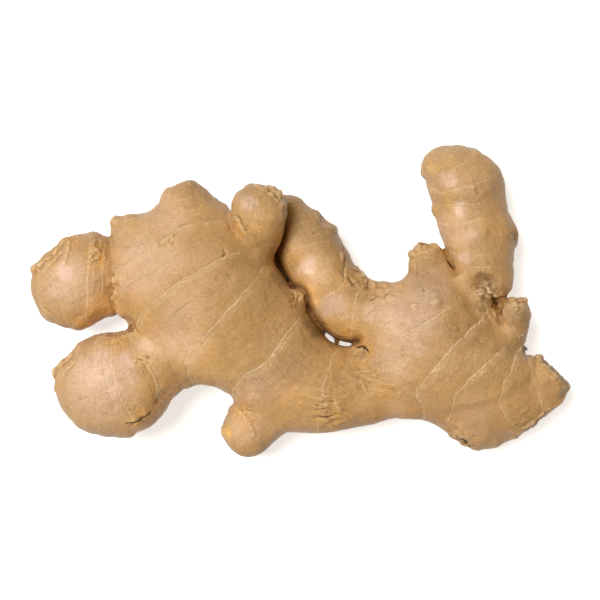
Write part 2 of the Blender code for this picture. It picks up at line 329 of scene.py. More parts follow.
# Torn edges of scale leaves on the upper side: the height of the step up to the left of the line,
# in millimetres, then points (x, y) seen from above.
FLAPS = [
    (0.6, [(-77.2, 7.6), (-74.3, 10.5), (-71.4, 13.4), (-69.2, 15.8), (-67.5, 17)]),
    (0.35, [(-74.4, 7.2), (-71.9, 9.9), (-70, 12.1), (-68, 14.8)]),
    (0.25, [(-68, 9.5), (-66.8, 11.9), (-66.3, 15.3), (-66.6, 18)]),
    (0.4, [(-60.3, 9.8), (-58.8, 11.2), (-57.1, 12.7), (-58.3, 14.4), (-59.1, 16.3),
           (-58.7, 19.2)]),
    (0.3, [(-60.4, 11.4), (-58.8, 13.2), (-57, 14.8)]),
    (0.45, [(-52.3, 8), (-53.5, 4.7), (-53.1, 2.3), (-54, 0.3), (-53.1, -2.3)]),
    (0.35, [(-53.5, 5.4), (-52, 4.8), (-50.6, 4.2)]),
    (0.5, [(-71.8, -23.4), (-70, -19.8), (-67, -16.8), (-64.3, -14)]),
    (0.25, [(-68.6, -23.4), (-66.8, -20), (-64.6, -17)]),
    (0.35, [(-47.5, -8.6), (-51, -9.8), (-55, -10.4), (-59.5, -10.8)]),
    (0.35, [(-43, -17.4), (-44, -16.4), (-45.2, -17.3), (-47.4, -16.3)]),
    (0.6, [(-49.4, -35.6), (-46.5, -34.9), (-44.5, -34), (-42.2, -32)]),
    (0.5, [(-3.9, 24.6), (-4.4, 28.2), (-6.8, 31), (-10.5, 32.3), (-14.4, 32.8)]),
    (0.3, [(-6.2, 26.6), (-7, 29.4), (-9.4, 31)]),
    (0.3, [(-15.2, 18.4), (-17, 21.4), (-18.4, 24.2)]),
    (0.45, [(15.6, 9.8), (17.4, 7.9), (18.9, 4.9)]),
    (0.3, [(11.3, 14.4), (12.8, 10.6), (13.2, 6.4)]),
    (0.2, [(17, -5.2), (20, -2.6), (23.3, -0.9), (28.1, 0.6)]),
    (0.22, [(19.6, 3.4), (22.5, 2), (25.5, 2.2), (29, 1.4)]),
    (0.35, [(1.4, -0.6), (0.6, 1.8), (-1.6, 3), (-3.6, 2.8)]),
    (0.2, [(32.6, 13.2), (35.2, 13.8), (38.6, 13.4)]),
    (0.6, [(50.3, 3.5), (52.4, 3), (54.6, 2), (57, 1), (59.4, 1.4)]),
    (0.17, [(50.7, 0), (51.2, -3.1), (53, -5.6)]),
    (0.17, [(52.6, -0.4), (53.6, -3), (55.4, -5.8)]),
    (0.15, [(54.6, -1), (55.8, -3.4), (57.2, -6)]),
    (0.3, [(66.6, -4.6), (65.2, -1.6), (62, -0.6), (60, -1.6)]),
    (0.3, [(62.9, 15.6), (61.2, 17.4), (61, 20.4)]),
    (0.35, [(77.2, -25.6), (74.6, -22.8), (72, -20), (69.6, -17.9)]),
    (0.3, [(73.6, -30.6), (70, -33), (66, -35.6), (62, -37.4)]),
    (0.6, [(44.2, -38.9), (46.3, -39.7), (48.3, -41.2), (50.6, -44)]),
    (0.3, [(-12.5, -41), (-14, -36.4), (-16.4, -33), (-19.4, -30.4)]),
    (0.25, [(37.6, 36), (35.6, 38.2), (36.6, 40.6)]),
]
# The height at which a torn edge looks fully torn, and how far its step fades out behind it.
FLAP_HEIGHT = 0.7
FLAP_LENGTH = 2.4

# Wrinkled places on the upper side: (x, y, radius, direction of the folds in degrees, distance
# between folds, height, ochre share), in millimetres.
WRINKLES = [
    (9, -31.5, 9.5, -4, 1.9, 0.55, 0.1),
    (20, -22, 8, -25, 1.5, 0.36, 0.35),
    (26, -27, 5, 10, 1.5, 0.36, 0.3),
    (23, -33, 4, 60, 1.5, 0.2, 0.3),
    (53.5, -3.5, 4.8, 112, 1.5, 0.15, 0.1),
    (-71, 13, 5.5, 42, 2.4, 0.5, 0.9),
    (-66.5, 17, 4, 38, 2.2, 0.4, 0.9),
    (-76, 8.5, 3.5, 50, 2, 0.3, 0.5),
    (-59, 13.5, 4.4, 55, 2.2, 0.22, 0.9),
    (-57, 17.5, 3.5, 80, 2, 0.18, 0.6),
    (-53.5, 5, 4, 75, 2, 0.3, 0.4),
    (-15.5, -32.5, 5.5, 75, 1.2, 0.3, 0.55),
    (23, 2, 5, 20, 1.5, 0.34, 0.2),
    (33.5, 9.5, 5, 80, 2, 0.1, 0.1),
    (36, 15, 4.5, 10, 1.8, 0.25, 0.2),
    (-34, 27, 8, 12, 1.7, 0.2, 0.15),
    (-50, 23, 5, 15, 1.5, 0.3, 0.15),
    (53, 5, 4.5, 95, 1.6, 0.3, 0.1),
    (-37, 17, 4.5, 50, 1.3, 0.3, 0.1),
    (-44, -18, 4, -35, 1.3, 0.25, 0.3),
    (-52, -11, 5, 85, 1.5, 0.28, 0.8),
    (-67.5, -18, 4, 65, 2.2, 0.45, 0.9),
    (-70.8, -24, 3.5, 80, 2.2, 0.45, 0.9),
    (17.5, -16.5, 4, 60, 1.6, 0.35, 0.4),
    (17.5, 4, 4, 70, 1.4, 0.4, 0.2),
    (-7, 30, 4.5, -50, 2, 0.4, 0.3),
    (-17, 20, 4, 100, 1.3, 0.25, 0.5),
    (74, -21, 6, -45, 1.5, 0.26, 0.15),
    (66, -35.5, 6, 40, 1.6, 0.25, 0.1),
    (45, -38, 5, -40, 1.4, 0.34, 0.3),
    (42, 41, 5, 20, 1.4, 0.2, 0.3),
    (-1, 0.5, 3.5, 60, 1.1, 0.5, 0.3),
    (63, -0.5, 4, 20, 1.3, 0.35, 0.1),
    (61.5, 19, 3.5, 80, 1.3, 0.35, 0.2),
    (7, 25, 5, -45, 1.5, 0.35, 0.15),
]

# Dents (negative) and bumps that the skin has all through its height: (x, y, radius, height) in
# millimetres.
BUMPS = [
    (-71.5, 15.5, 5.5, -0.9),
    (-76.8, 9.2, 2.6, 0.8),
    (-62, 19.5, 5, 0.4),
    (-69, 18, 2.6, 0.5),
    (-77.2, 9, 1.8, 0.35),
    (-60, 19.6, 2.6, 0.5),
    (-72, -20.8, 2.4, 0.9),
    (-71.8, -25.5, 2, 0.4),
    (-54.3, 23.4, 2.8, 1),
    (-46, 26.6, 4, -0.6),
    (-42, 26.2, 2, 0.2),
    (-39, 31, 3.4, 0.9),
    (-31.5, 34.8, 2.6, 0.4),
    (-24, 29.5, 4, -0.5),
    (-15, 33.2, 2.4, 0.5),
    (-6, 31, 2.2, 0.6),
    (-3.6, 27.8, 1.8, 0.4),
    (5.5, 25, 2, 0.5),
    (10, 21, 2, 0.5),
    (17.6, 7.2, 2, 0.5),
    (19.8, 4.2, 1.6, -0.6),
    (31.4, 13.8, 1.8, 0.7),
    (33.4, 16.2, 1.8, 0.4),
    (39, 16.2, 2, 0.5),
    (51.5, 43.8, 2.4, 0.4),
    (35.2, 37.2, 2.4, 0.5),
    (64.6, 0.6, 2, 0.7),
    (61, 0.3, 1.8, 0.6),
    (70, -16.2, 2.2, 0.8),
    (77.6, -27.4, 3, -1.1),
    (20.8, 4.9, 1.6, 0.6),
    (24.5, 5.2, 2, 0.4),
    (28.5, 4.9, 1.6, 0.3),
    (57.5, -42.3, 2.2, 0.4),
    (67.8, -36.2, 1.8, 0.5),
    (44.5, -40, 2.2, 0.5),
    (46.8, -41.6, 2.6, -0.3),
    (60.5, -41.6, 4, -0.5),
    (-27, -26.5, 6, -0.5),
    (-68.5, -14.5, 5.5, -1.2),
    (-57.5, -10, 5, 0.5),
    (66.4, -14.4, 2.8, -0.9),
    (7.5, 24.3, 4, -0.7),
    (32, -35.5, 6, 0.3),
    (-44.5, 26.8, 4, -0.5),
    (31.5, 8.5, 4, 0.6),
    (-18.6, 29.5, 4, 0.5),
    (-74.5, -5.5, 4, 0.5),
    (-58, -7, 4, -0.5),
    (-53, -4.5, 3, 0.5),
    (-49.6, -7.2, 3, -0.8),
    (-63, -37.5, 5, 0.5),
    (-50.5, -39.8, 4, 0.5),
    (-37, -29.5, 5, -0.6),
    (3.5, 27.5, 4, -0.5),
    (15, 11, 3, -0.4),
    (59.5, 33, 6, -0.4),
    (62, 22, 5, 0.4),
    (47, -43, 3, 0.6),
    (-30, -26, 5, -0.3),
    (66, 0.4, 2.4, 0.5),
    (-7, -39.5, 4, 0.5),
    (39.5, 21, 5, 0.35),
    (51, -43.8, 2.4, 0.5),
    (-20.6, -31.5, 1.8, 0.5),
    (-23, -38.5, 2.2, 0.4),
    (-39, -31, 2.4, 0.2),
    (-49, -39.8, 2.6, 0.4),
    (-32, -25.6, 1.8, 0.4),
    (-64.5, -8, 2.6, 0.5),
    (-54.5, 9, 3, 0.4),
    (-53.6, 5.2, 2, 0.5),
    (32.2, -2, 1.8, 0.6),
    (38.8, -0.6, 2, 0.7),
    (53, 4.8, 4.4, -1),
    (51.2, 1.6, 1.8, 0.7),
    (53.8, 0.9, 1.7, 0.7),
    (56.8, -1.4, 2, -0.9),
    (66, -28, 8, -0.5),
    (38, -14, 9, -0.35),
    (-10, -8, 8, -0.35),
]

# Tints of the skin, by kind: (x, y, radius, share) in millimetres. "lift" is painted light and
# "shade" painted shade, which make the skin lighter and darker; the pink kind is pale skin and
# painted highlights, and the other kinds are colours.
TINTS = {
    "pink_and_highlight": [
        (-57, -18, 7, 0.9), (-50, -23, 6, 0.7), (34, -2, 9, 0.5), (50, -34, 9, 0.2),
        (5, 8, 6, 0.3), (45, 20, 8, 0.35), (50, 33, 10, 0.1), (26, -3, 8, 0.5),
        (-58, -22, 10, 0.8), (-33, -12, 9, 0.5), (-12, -25, 8, 0.3), (26, -18, 8, 0.4),
        (30, -30, 9, 0.15), (-57, -25, 15, 0.6), (-66, 5, 12, 0.45), (-46, 9, 13, 0.4),
        (31, -8, 12, 0.45), (37, 3, 9, 0.45), (-38, -11, 10, 0.35), (-33, -5, 9, 0.35),
        (-15.5, -37, 8, 0.3), (-10, -24, 9, 0.2), (-60, -20, 7, 0.9), (-38, 24, 10, 0.3),
        (-67, 8, 5, 1), (-69.5, 3, 5, 0.6), (-56.5, -20, 6, 1), (-50, -17.5, 4.5, 0.9),
        (-53, -25, 5.5, 0.8), (-62, -24, 5, 0.6), (28, -6, 7.5, 0.75), (33, -12, 6, 0.5),
        (2.5, 9.5, 4.5, 1), (9, -2, 5, 0.6), (46, 25.5, 3.4, 1), (42.5, 34.5, 3.4, 0.9),
        (48.5, 18.5, 3, 0.6), (47, 12.5, 3, 0.7), (-45, 12, 8, 0.5), (-38, 11, 8, 0.35),
        (-44, -13, 4, 0.5), (-14.5, 27.5, 3.4, 0.8), (-31, -2, 10, 0.25), (-50, 5, 5, 0.5),
        (20, -3.5, 4, 0.5), (-35.5, 22, 6, 0.35),
    ],
    "ochre": [
        (-28, -3, 13, 0.2), (-43, -6, 7, 0.25), (-66, -17, 4, 0.5), (40, 39, 3.5, 0.5),
        (44, 42, 3, 0.35), (-2.5, 26, 3.5, 0.7), (-5, 18, 3, 0.6), (-7.5, 10, 3, 0.6),
        (8, -10, 3, 0.6), (14, 21, 4, 0.3), (-32, 3, 10, 0.12), (-12, -3, 9, 0.12),
        (-50, 0, 6, 0.15), (-3, 22, 3, 0.3), (-2, 30, 3, 0.35), (-1, 12, 3, 0.35), (3, 2, 3, 0.3),
        (9, -7, 4, 0.5), (12.5, -10, 3, 0.5), (-12, 16, 6, 0.15), (-10, 8, 6, 0.15),
        (-44, -34, 5, 0.6), (-28, -26, 7, 0.6), (10, -36, 8, 0.35), (33, -33, 6, 0.5),
        (52, -42, 5, 0.35), (-46, -37, 4, 0.4), (61.5, 20, 3, 0.35), (-60, 4, 6, 0.2),
        (-66, -6, 6, 0.25), (-68, 16.5, 3.4, 0.9), (-72, 12, 3.4, 0.75), (-58.5, 15, 3, 0.8),
        (-57.5, 11, 3, 0.9), (-60, 9, 2.4, 0.5), (-53, -11.5, 3, 0.95), (-67.5, -17.5, 2.4, 1),
        (-68.6, -20, 1.8, 0.9), (-64, -14.5, 3, 0.5), (-71, -22, 1.8, 0.8), (-70.5, -26, 2, 0.6),
        (-16.5, -32, 3.5, 0.6), (-14, -36, 3, 0.4), (-47, -7.5, 2.4, 0.8), (-46, -17, 2, 0.8),
        (10.5, -17, 3, 0.35), (17, -18, 3.5, 0.5), (19.5, -22, 4.5, 0.5), (25, -26, 3.5, 0.4),
        (-3.5, 13, 2.6, 0.45), (20, -14.5, 3, 0.7), (-53, 4.5, 2, 0.5), (-55.5, 2, 3, 0.5),
        (-16.8, 19, 2.4, 0.7),
    ],
    "flesh": [
        (-21.6, -38.5, 3.2, 1), (38.5, 38.4, 2.6, 0.4), (43, 40.8, 2.6, 0.25),
    ],
    "bark": [
        (73, -19.5, 2.6, 0.7), (75.5, -21.6, 2.4, 0.75), (70.5, -17.4, 2, 0.5),
        (74, -30.5, 2, 0.4), (52.6, 5, 4.4, 0.7), (53, 3.2, 3.4, 0.6), (55, 3.4, 2.4, 0.6),
        (50.6, 3.6, 2, 0.6), (57.6, -4, 1.4, 0.5), (48.4, -42.4, 2.2, 1), (46.6, -41, 1.8, 1),
        (50, -44, 1.6, 0.9), (76.6, -23, 2.6, 0.6), (78, -25.5, 1.8, 0.7), (61.6, 19, 2, 0.8),
        (62.2, 17, 1.8, 0.7), (8, -33.2, 2.2, 0.5), (-12.5, 18.2, 2.2, 0.45),
        (43.5, 10.6, 1.6, 0.9), (66.6, -36, 1.8, 0.5), (35.5, -31.5, 1.2, 0.5),
        (-30.5, 33.5, 3, 0.5), (33, 8, 2, 0.35), (-54.2, 23.8, 1.8, 0.5), (-48.5, 24.6, 1.4, 0.4),
        (63.5, -1.5, 2.6, 0.4), (-46, -34.3, 1.6, 0.4), (18, -14, 1.8, 0.8), (19.5, 5, 1.8, 0.4),
        (-40, 16, 1.1, 0.6), (-37.4, 17.3, 1.2, 0.6), (-34.6, 19, 1.3, 0.6), (-33, 20, 0.9, 0.5),
    ],
    # Painted light: places where the skin is painted lighter.
    "lift": [
        (-43, -30.5, 6, 1.3), (-57, -3.5, 8, 3), (-61, -7, 5, 3), (-28, -17, 11, 1.5),
        (-39, -26, 8, 2), (-48, -37, 6, 1.8), (-41, -30, 5, 1.3), (-17, -16, 6, 0.7),
        (11.5, 5.5, 4, 0.8), (46.5, -4.5, 4, 0.8), (-45, 1, 5, 0.5), (16, -11, 5, 2),
        (3, 1.8, 4.5, 2.2), (45, 16, 4, 0.7), (58.5, -10, 4, 1), (62, 20, 3, 1), (9, -36, 9, 0.8),
        (-11, -31, 5, 0.8), (-15, -29, 6, 1), (-15, -42, 5, 1), (-38, -13, 12, 0.7),
        (-41, -27, 8, 1.2), (-19, -17, 9, 0.5), (0, -31, 12, 0.8), (4, 6, 7, 1),
        (15, -9.5, 5, 1.3), (-11, 21.5, 5, 0.8), (-6, 20, 3.5, 0.8), (-50, -37, 7, 0.6),
        (42, 25, 6, 0.8), (56, 23, 7, 0.8), (57, -28, 7, 0.8), (49.5, -35, 8, 0.9),
        (24, -32, 10, 0.6), (-55, -11, 7, 0.8), (-52, 10, 7, 0.6), (-34, 24, 8, 0.3),
        (-17, -38, 6, 0.5), (70, -20, 5, 0.4),
    ],
    # Painted shade: places where the skin is painted darker.
    "shade": [
        (50, 29, 9, 0.8), (37, 2, 9, 1), (57.5, -14.5, 5, 0.8), (65, -4.5, 4, 1),
        (52.3, -0.6, 4, 1.8), (3.2, -7, 3, 2), (17.5, -14.6, 3, 1.5), (-3, -18.5, 8, 0.9),
        (51, -23.5, 6, 0.8), (50, -34, 7, 0.7), (-14, 30, 6, 0.8), (7, 20, 7, 0.7),
        (-11, 12, 7, 0.7), (9, -2, 4, 0.7), (3, 22, 10, 1), (-10, 30, 7, 0.6), (-2, 28, 6, 0.8),
        (5.5, -8.8, 4, 2.6), (9, -11.5, 3, 1.4), (48, -8, 12, 0.9), (52, 5, 6, 1.4),
        (8, 18, 7, 0.9), (-14, -22, 6, 0.8), (20, -19, 9, 0.7), (-13, 2, 9, 0.5),
        (-31, 31, 7, 0.8), (-36, -5, 9, 0.4), (3, -5, 5, 0.9), (-5.8, 6, 4, 1.8),
        (-14, 12, 9, 0.7), (-24, 2, 14, 0.3), (-27, 16, 9, 0.3), (-4, -15, 10, 0.4),
        (46, 38, 10, 0.4), (48, 32, 5, 0.5), (17, 2, 5, 0.8), (37, 8, 9, 0.9), (34, -4, 11, 0.7),
        (52, 12, 9, 0.7), (53, 1.5, 5, 1.5), (62, -5, 7, 1.5), (61, -12, 7, 1.3),
        (66, -34.5, 6, 0.8), (40.5, -18, 7, 0.5), (51, -21, 9, 0.5), (73, -24, 7, 0.6),
        (30, -12, 6, 0.4),
    ],
}

# Papery rags besides those on the rings: how many, then the line (x, y) along which they stand, in
# millimetres.
RAG_LINES = [
    (9, [(-76, 9.5), (-72, 13), (-68, 18), (-62, 19)]),
    (8, [(-60, 9.5), (-59.5, 13), (-58, 17), (-58, 19)]),
    (9, [(-54.6, 17), (-54, 10), (-53.8, 5), (-54.8, 0)]),
    (6, [(-55, 22), (-53, 24.6), (-48, 24.6), (-42, 26)]),
    (7, [(-72, -20), (-69, -19), (-67, -16.5), (-64, -13.5)]),
    (5, [(-59, -9.3), (-57, -10), (-54, -10)]),
    (6, [(-48, -33), (-46, -35), (-42.6, -32.4)]),
    (7, [(-19, -29), (-16, -31), (-13.5, -36), (-12, -41)]),
    (12, [(-13, 33.3), (-9, 33), (-6, 31), (-4, 28), (-3.6, 25)]),
    (6, [(4, 26), (7.5, 24.3), (10.5, 20.5)]),
    (5, [(16, 8), (18, 6.8), (19, 4.5)]),
    (6, [(-3.8, 3.6), (-1, 3.4), (1, 1), (1.6, -3)]),
    (6, [(15.5, -12.8), (17.5, -13.5), (19.6, -15.4)]),
    (8, [(31.6, 14.2), (33.4, 16), (38.5, 16.4), (41, 13)]),
    (5, [(38, 27.5), (37.8, 26), (39.4, 24)]),
    (7, [(49.5, 4), (52.5, 2), (55.5, 0.2), (58, 0.4)]),
    (6, [(60, 0.2), (64.6, 0.8), (66.4, -2.5)]),
    (8, [(69.5, -16.4), (73, -19), (77.5, -23.5)]),
    (6, [(64, -38), (68, -36), (72, -32.4)]),
    (6, [(44, -39.8), (47, -41), (50, -43.6)]),
    (5, [(50.5, 43.4), (54, 41.6), (57, 38.6)]),
    (9, [(16, -19), (20, -20.5), (24, -24), (28, -27)]),
    (5, [(-40.6, 15.4), (-36, 18), (-33.5, 19.5)]),
]

# A rag's width at each station from root to tip, as shares of the whole, and the points round each.
# Its root lies this deep under the skin and this far behind the place where it stands.
RAG_WIDTHS = (1, 1, 0.85, 0.55, 0.15)
RAG_SIDES = 4
ROOT_DEPTH = 0.18
ROOT_SETBACK = 0.2
HALF_THICKNESS = 0.05

# How far the floor lies under the rhizome, how high the camera's plane in focus is, and the width
# of its sensor, in millimetres; and the direction that the main light comes from.
FLOOR_GAP = 0.02
FOCUS_HEIGHT = 14
SENSOR_WIDTH = 36
KEY_DIRECTION = (-0.46, 0.24, 1.0)


def smooth_step(low, high, value):
    """0 at low and 1 at high, with a soft change between. High may be the smaller one."""
    share = np.clip((value - low) / (high - low), 0, 1)
    return share * share * (3 - 2 * share)


def curve_through(points, step):
    """Points about a step apart on a smooth curve through all of these."""
    points = np.asarray(points, float)
    padded = np.vstack([2 * points[0] - points[1], points, 2 * points[-1] - points[-2]])
    pieces = []
    for a, b, c, d in zip(padded, padded[1:], padded[2:], padded[3:]):
        count = max(2, int(np.ceil(np.linalg.norm((c - b)[:2]) / step)))
        t = np.arange(count)[:, None] / count
        pieces.append(
            b + t * (c - a) / 2
            + t**2 * (a - 2.5 * b + 2 * c - d / 2)
            + t**3 * (1.5 * b - 1.5 * c + (d - a) / 2)
        )
    return np.vstack([*pieces, points[-1:]])


class Noise:
    """Smooth noise in space, about -1 to 1, the same for the same seed."""

    SIZE = 256
    RANGE = 1.6

    def __init__(self, seed):
        chance = np.random.default_rng(seed)
        self.order = chance.permutation(self.SIZE)
        slopes = chance.normal(size=(self.SIZE, 3))
        self.slopes = slopes / np.linalg.norm(slopes, axis=1, keepdims=True)

    def corner_slopes(self, cell):
        """The slope that belongs to each corner of the grid."""
        index = self.order[cell[:, 0] % self.SIZE]
        index = self.order[(index + cell[:, 1]) % self.SIZE]
        return self.slopes[self.order[(index + cell[:, 2]) % self.SIZE]]

    def single(self, points):
        """Noise with features about 1 wide."""
        cell = np.floor(points).astype(int)
        inside = points - cell
        ease = inside**3 * (inside * (inside * 6 - 15) + 10)
        total = np.zeros(len(points))
        for corner in np.ndindex(2, 2, 2):
            corner = np.array(corner)
            share = np.where(corner, ease, 1 - ease).prod(axis=1)
            total += share * (self.corner_slopes(cell + corner) * (inside - corner)).sum(axis=1)
        return total * self.RANGE

    def at(self, points, size, octaves=1):
        """Noise with features of this size, each further octave half as large and as strong."""
        total, weight = 0, 1
        for octave in range(octaves):
            total = total + weight * self.single(points / size * 2**octave + 17 * octave)
            weight /= 2
        return total

    def folds(self, points, size):
        """Sharp ridges, 0 to 1."""
        return np.clip(1 - 2.2 * np.abs(self.single(points / size)), 0, 1)


class Limb:
    """One limb's middle line and radii, ready for distances to its surface, in millimetres.

    STEPS is about how many short straight runs lie between two stations. Points further than
    REACH from the limb's box aren't measured.
    """

    STEPS = 5
    REACH = 9

    def __init__(self, region, flatness, join, stations, shift):
        self.region, self.flatness, self.join = region, flatness, join
        stations = np.array(stations, float)
        stations[:, :2] += shift
        stations[:, 2] /= flatness
        gaps = np.linalg.norm(np.diff(stations[:, :2], axis=0), axis=1)
        path = curve_through(stations, gaps.mean() / self.STEPS)
        self.start, self.radius = path[:-1, :3], path[:-1, 3]
        self.run, self.widening = np.diff(path[:, :3], axis=0), np.diff(path[:, 3])
        self.run_squared = (self.run**2).sum(axis=1)
        length = np.sqrt(self.run_squared)
        self.length, self.passed = length, np.cumsum(length) - length
        reach = path[:, 3].max() + self.REACH
        self.low = path[:, :2].min(axis=0) - reach
        self.high = path[:, :2].max(axis=0) + reach

    def near(self, points):
        """Which points are close enough to be measured."""
        inside = (points[:, :2] > self.low) & (points[:, :2] < self.high)
        return np.flatnonzero(inside.all(axis=1))

    def measure(self, points):
        """Distance to the surface, its direction, and the way along and around the limb."""
        flat = points.copy()
        flat[:, 2] /= self.flatness
        offset = flat[:, None] - self.start
        share = np.clip((offset * self.run).sum(axis=2) / self.run_squared, 0, 1)
        offset -= share[..., None] * self.run
        away = np.linalg.norm(offset, axis=2)
        gap = away - self.radius - share * self.widening
        best = gap.argmin(axis=1)
        row = np.arange(len(points))
        direction = offset[row, best] / np.maximum(away[row, best], 1e-6)[:, None]
        direction[:, 2] /= self.flatness
        steepness = np.linalg.norm(direction, axis=1)
        side = np.cross(self.run[best] / self.length[best, None], (0, 0, 1))
        turn = np.arctan2(direction[:, 2], (direction * side).sum(axis=1))
        along = self.passed[best] + share[row, best] * self.length[best]
        return (
            gap[row, best] / steepness,
            direction / steepness[:, None],
            along,
            turn * self.radius[best],
        )


class Growth:
    """All limbs as one smoothly joined surface.

    A crease's painted shade reaches CREASE_WIDTH from where two limbs are equally near, and a
    limb that stands out over the ones before it by the first length of COVERED starts to hide
    their creases.
    """

    FAR = 99.0
    THINNEST_ROUND = 0.3
    CREASE_WIDTH = 3
    COVERED = (5, 9)

    def __init__(self, shift):
        self.limbs = {name: Limb(*spec, shift) for name, spec in LIMBS.items()}
        self.regions = np.array([limb.region for limb in self.limbs.values()])
        self.creases = [(*spec, mark_path(points, shift, 2.0)) for *spec, points in CREASES]

    def round_width(self, name, points):
        """The width of the limb's round at each point, how tight it is and how dark."""
        width = np.full(len(points), float(max(self.limbs[name].join, self.THINNEST_ROUND)))
        tight, dark = np.zeros(len(points)), np.zeros(len(points))
        for limb, narrow, reach, shade, path in self.creases:
            if limb != name:
                continue
            index = np.flatnonzero(near_path(points[:, :2], path, reach))
            away = np.abs(path_distance(points[index, :2], path)[0])
            held = smooth_step(reach, reach * 0.4, away)
            width[index] += (narrow - width[index]) * held
            tight[index] = np.maximum(tight[index], held)
            dark[index] = np.maximum(dark[index], held * shade)
        return width, tight, dark

    def measure(self, points):
        """What every point needs to know of the limbs: distances, directions, creases, places."""
        count = len(points)
        joined, first, second = (np.full(count, self.FAR) for _ in range(3))
        nearest, crease, cleft = np.zeros(count, int), np.zeros(count), np.zeros(count)
        slope = np.zeros((count, 3))
        along, around = np.zeros(count), np.zeros(count)
        for number, (name, limb) in enumerate(self.limbs.items()):
            index = limb.near(points)
            gap, direction, way, turn = limb.measure(points[index])
            before = joined[index]
            width, tight, dark = self.round_width(name, points[index])
            share = np.clip(0.5 + (before - gap) / (2 * width), 0, 1)
            joined[index] = before + (gap - before) * share - width * share * (1 - share)
            slope[index] += (direction - slope[index]) * share[:, None]
            apart = np.abs(before - gap)
            kept = 1 - smooth_step(*self.COVERED, before - gap)
            # Painted shade that darkens the skin along the crease.
            crease_shade = dark * smooth_step(self.CREASE_WIDTH, 0, apart)
            crease[index] = np.maximum(crease[index] * kept, crease_shade)
            pressed = tight * smooth_step(self.CREASE_WIDTH, 1, apart)
            cleft[index] = np.maximum(cleft[index] * kept, pressed)
            closer = gap < first[index]
            here = index[closer]
            second[here] = first[here]
            first[here], nearest[here] = gap[closer], number
            along[here], around[here] = way[closer], turn[closer]
            here = index[~closer]
            second[here] = np.minimum(second[here], gap[~closer])
        slope /= np.maximum(np.linalg.norm(slope, axis=1, keepdims=True), 0.2)
        return {
            "raw": first,
            "distance": joined,
            "direction": slope,
            "limb": nearest,
            "apart": second - first,
            "crease": crease,
            "cleft": cleft,
            "along": along,
            "around": around,
        }


class Surface:
    """Points, in millimetres, and four-sided faces of the skin while it is being shaped."""

    def __init__(self, mesh):
        points = np.empty(len(mesh.vertices) * 3)
        mesh.vertices.foreach_get("co", points)
        self.points = points.reshape(-1, 3) / MM
        corners = np.empty(len(mesh.loops), int)
        mesh.loops.foreach_get("vertex_index", corners)
        self.faces = corners.reshape(-1, 4)
        edges = np.empty(len(mesh.edges) * 2, int)
        mesh.edges.foreach_get("vertices", edges)
        self.edges = edges.reshape(-1, 2)
        self.neighbours = np.bincount(edges, minlength=len(self.points))

    def average(self, values):
        """The mean of each point's neighbours."""
        one, other = self.edges.T
        count = len(self.points)
        columns = values.reshape(count, -1).T
        sums = [
            np.bincount(one, column[other], count) + np.bincount(other, column[one], count)
            for column in columns
        ]
        return (np.array(sums) / self.neighbours).T.reshape(values.shape)

    def softened(self, values, rounds):
        """The values after each point was drawn to its neighbours this many times."""
        for _ in range(rounds):
            values = (values + self.average(values)) / 2
        return values

    def normals(self):
        """The outward direction at each point."""
        a, b, c, d = (self.points[self.faces[:, k]] for k in range(4))
        face = np.cross(c - a, d - b)
        count = len(self.points)
        corner = self.faces.ravel()
        total = [np.bincount(corner, np.repeat(face[:, k], 4), count) for k in range(3)]
        total = np.array(total).T
        return total / np.maximum(np.linalg.norm(total, axis=1, keepdims=True), 1e-9)


# ---------------------------------------------------------------------------------- growing


def limb_tube(name, flatness, stations):
    """A curve through the stations, as thick as their radii. Its height is scaled to flatness."""
    curve = bpy.data.curves.new(name, "CURVE")
    curve.dimensions = "3D"
    curve.bevel_depth = MM
    curve.bevel_resolution = 8
    curve.use_fill_caps = True
    spline = curve.splines.new("BEZIER")
    spline.resolution_u = 8
    spline.radius_interpolation = "CARDINAL"
    spline.bezier_points.add(len(stations) - 1)
    for point, (x, y, z, radius) in zip(spline.bezier_points, stations):
        point.co = Vector((x, y, z / flatness)) * MM
        point.radius = radius
        point.handle_left_type = "AUTO"
        point.handle_right_type = "AUTO"
    tube = bpy.data.objects.new(name, curve)
    tube.scale.z = flatness
    return tube


def add_tube(solid, tube):
    """Adds the tube's evaluated mesh to the bmesh and removes the tube."""
    bpy.context.scene.collection.objects.link(tube)
    bpy.context.view_layer.update()
    graph = bpy.context.evaluated_depsgraph_get()
    mesh = bpy.data.meshes.new_from_object(tube.evaluated_get(graph))
    mesh.transform(tube.matrix_world)
    solid.from_mesh(mesh)
    bpy.data.meshes.remove(mesh)
    bpy.data.objects.remove(tube)


def add_ball(solid, flatness, station):
    """Adds the round end of a limb to the bmesh."""
    x, y, z, radius = station
    place = Matrix.Translation(Vector((x, y, z)) * MM) @ Matrix.Diagonal((1, 1, flatness, 1))
    bmesh.ops.create_uvsphere(
        solid, u_segments=40, v_segments=20, radius=radius * MM, matrix=place
    )


def limbs_mesh():
    """All limbs in one mesh, still overlapping."""
    solid = bmesh.new()
    for name, (_, flatness, _, stations) in LIMBS.items():
        add_tube(solid, limb_tube(name, flatness, stations))
        add_ball(solid, flatness, stations[0])
        add_ball(solid, flatness, stations[-1])
    bmesh.ops.remove_doubles(solid, verts=solid.verts, dist=0.001 * MM)
    bmesh.ops.recalc_face_normals(solid, faces=solid.faces)
    mesh = bpy.data.meshes.new("limbs")
    solid.to_mesh(mesh)
    solid.free()
    return mesh


def new_cutter(name, shape, place):
    """An object that cuts the solid, made from a bmesh moved to its place."""
    mesh = bpy.data.meshes.new(name)
    shape.to_mesh(mesh)
    shape.free()
    mesh.transform(place)
    cutter = bpy.data.objects.new(name, mesh)
    bpy.context.scene.collection.objects.link(cutter)
    return cutter


def block_cutter(name, place):
    """A unit cube, stretched and moved to this place."""
    block = bmesh.new()
    bmesh.ops.create_cube(block, size=1)
    return new_cutter(name, block, place)


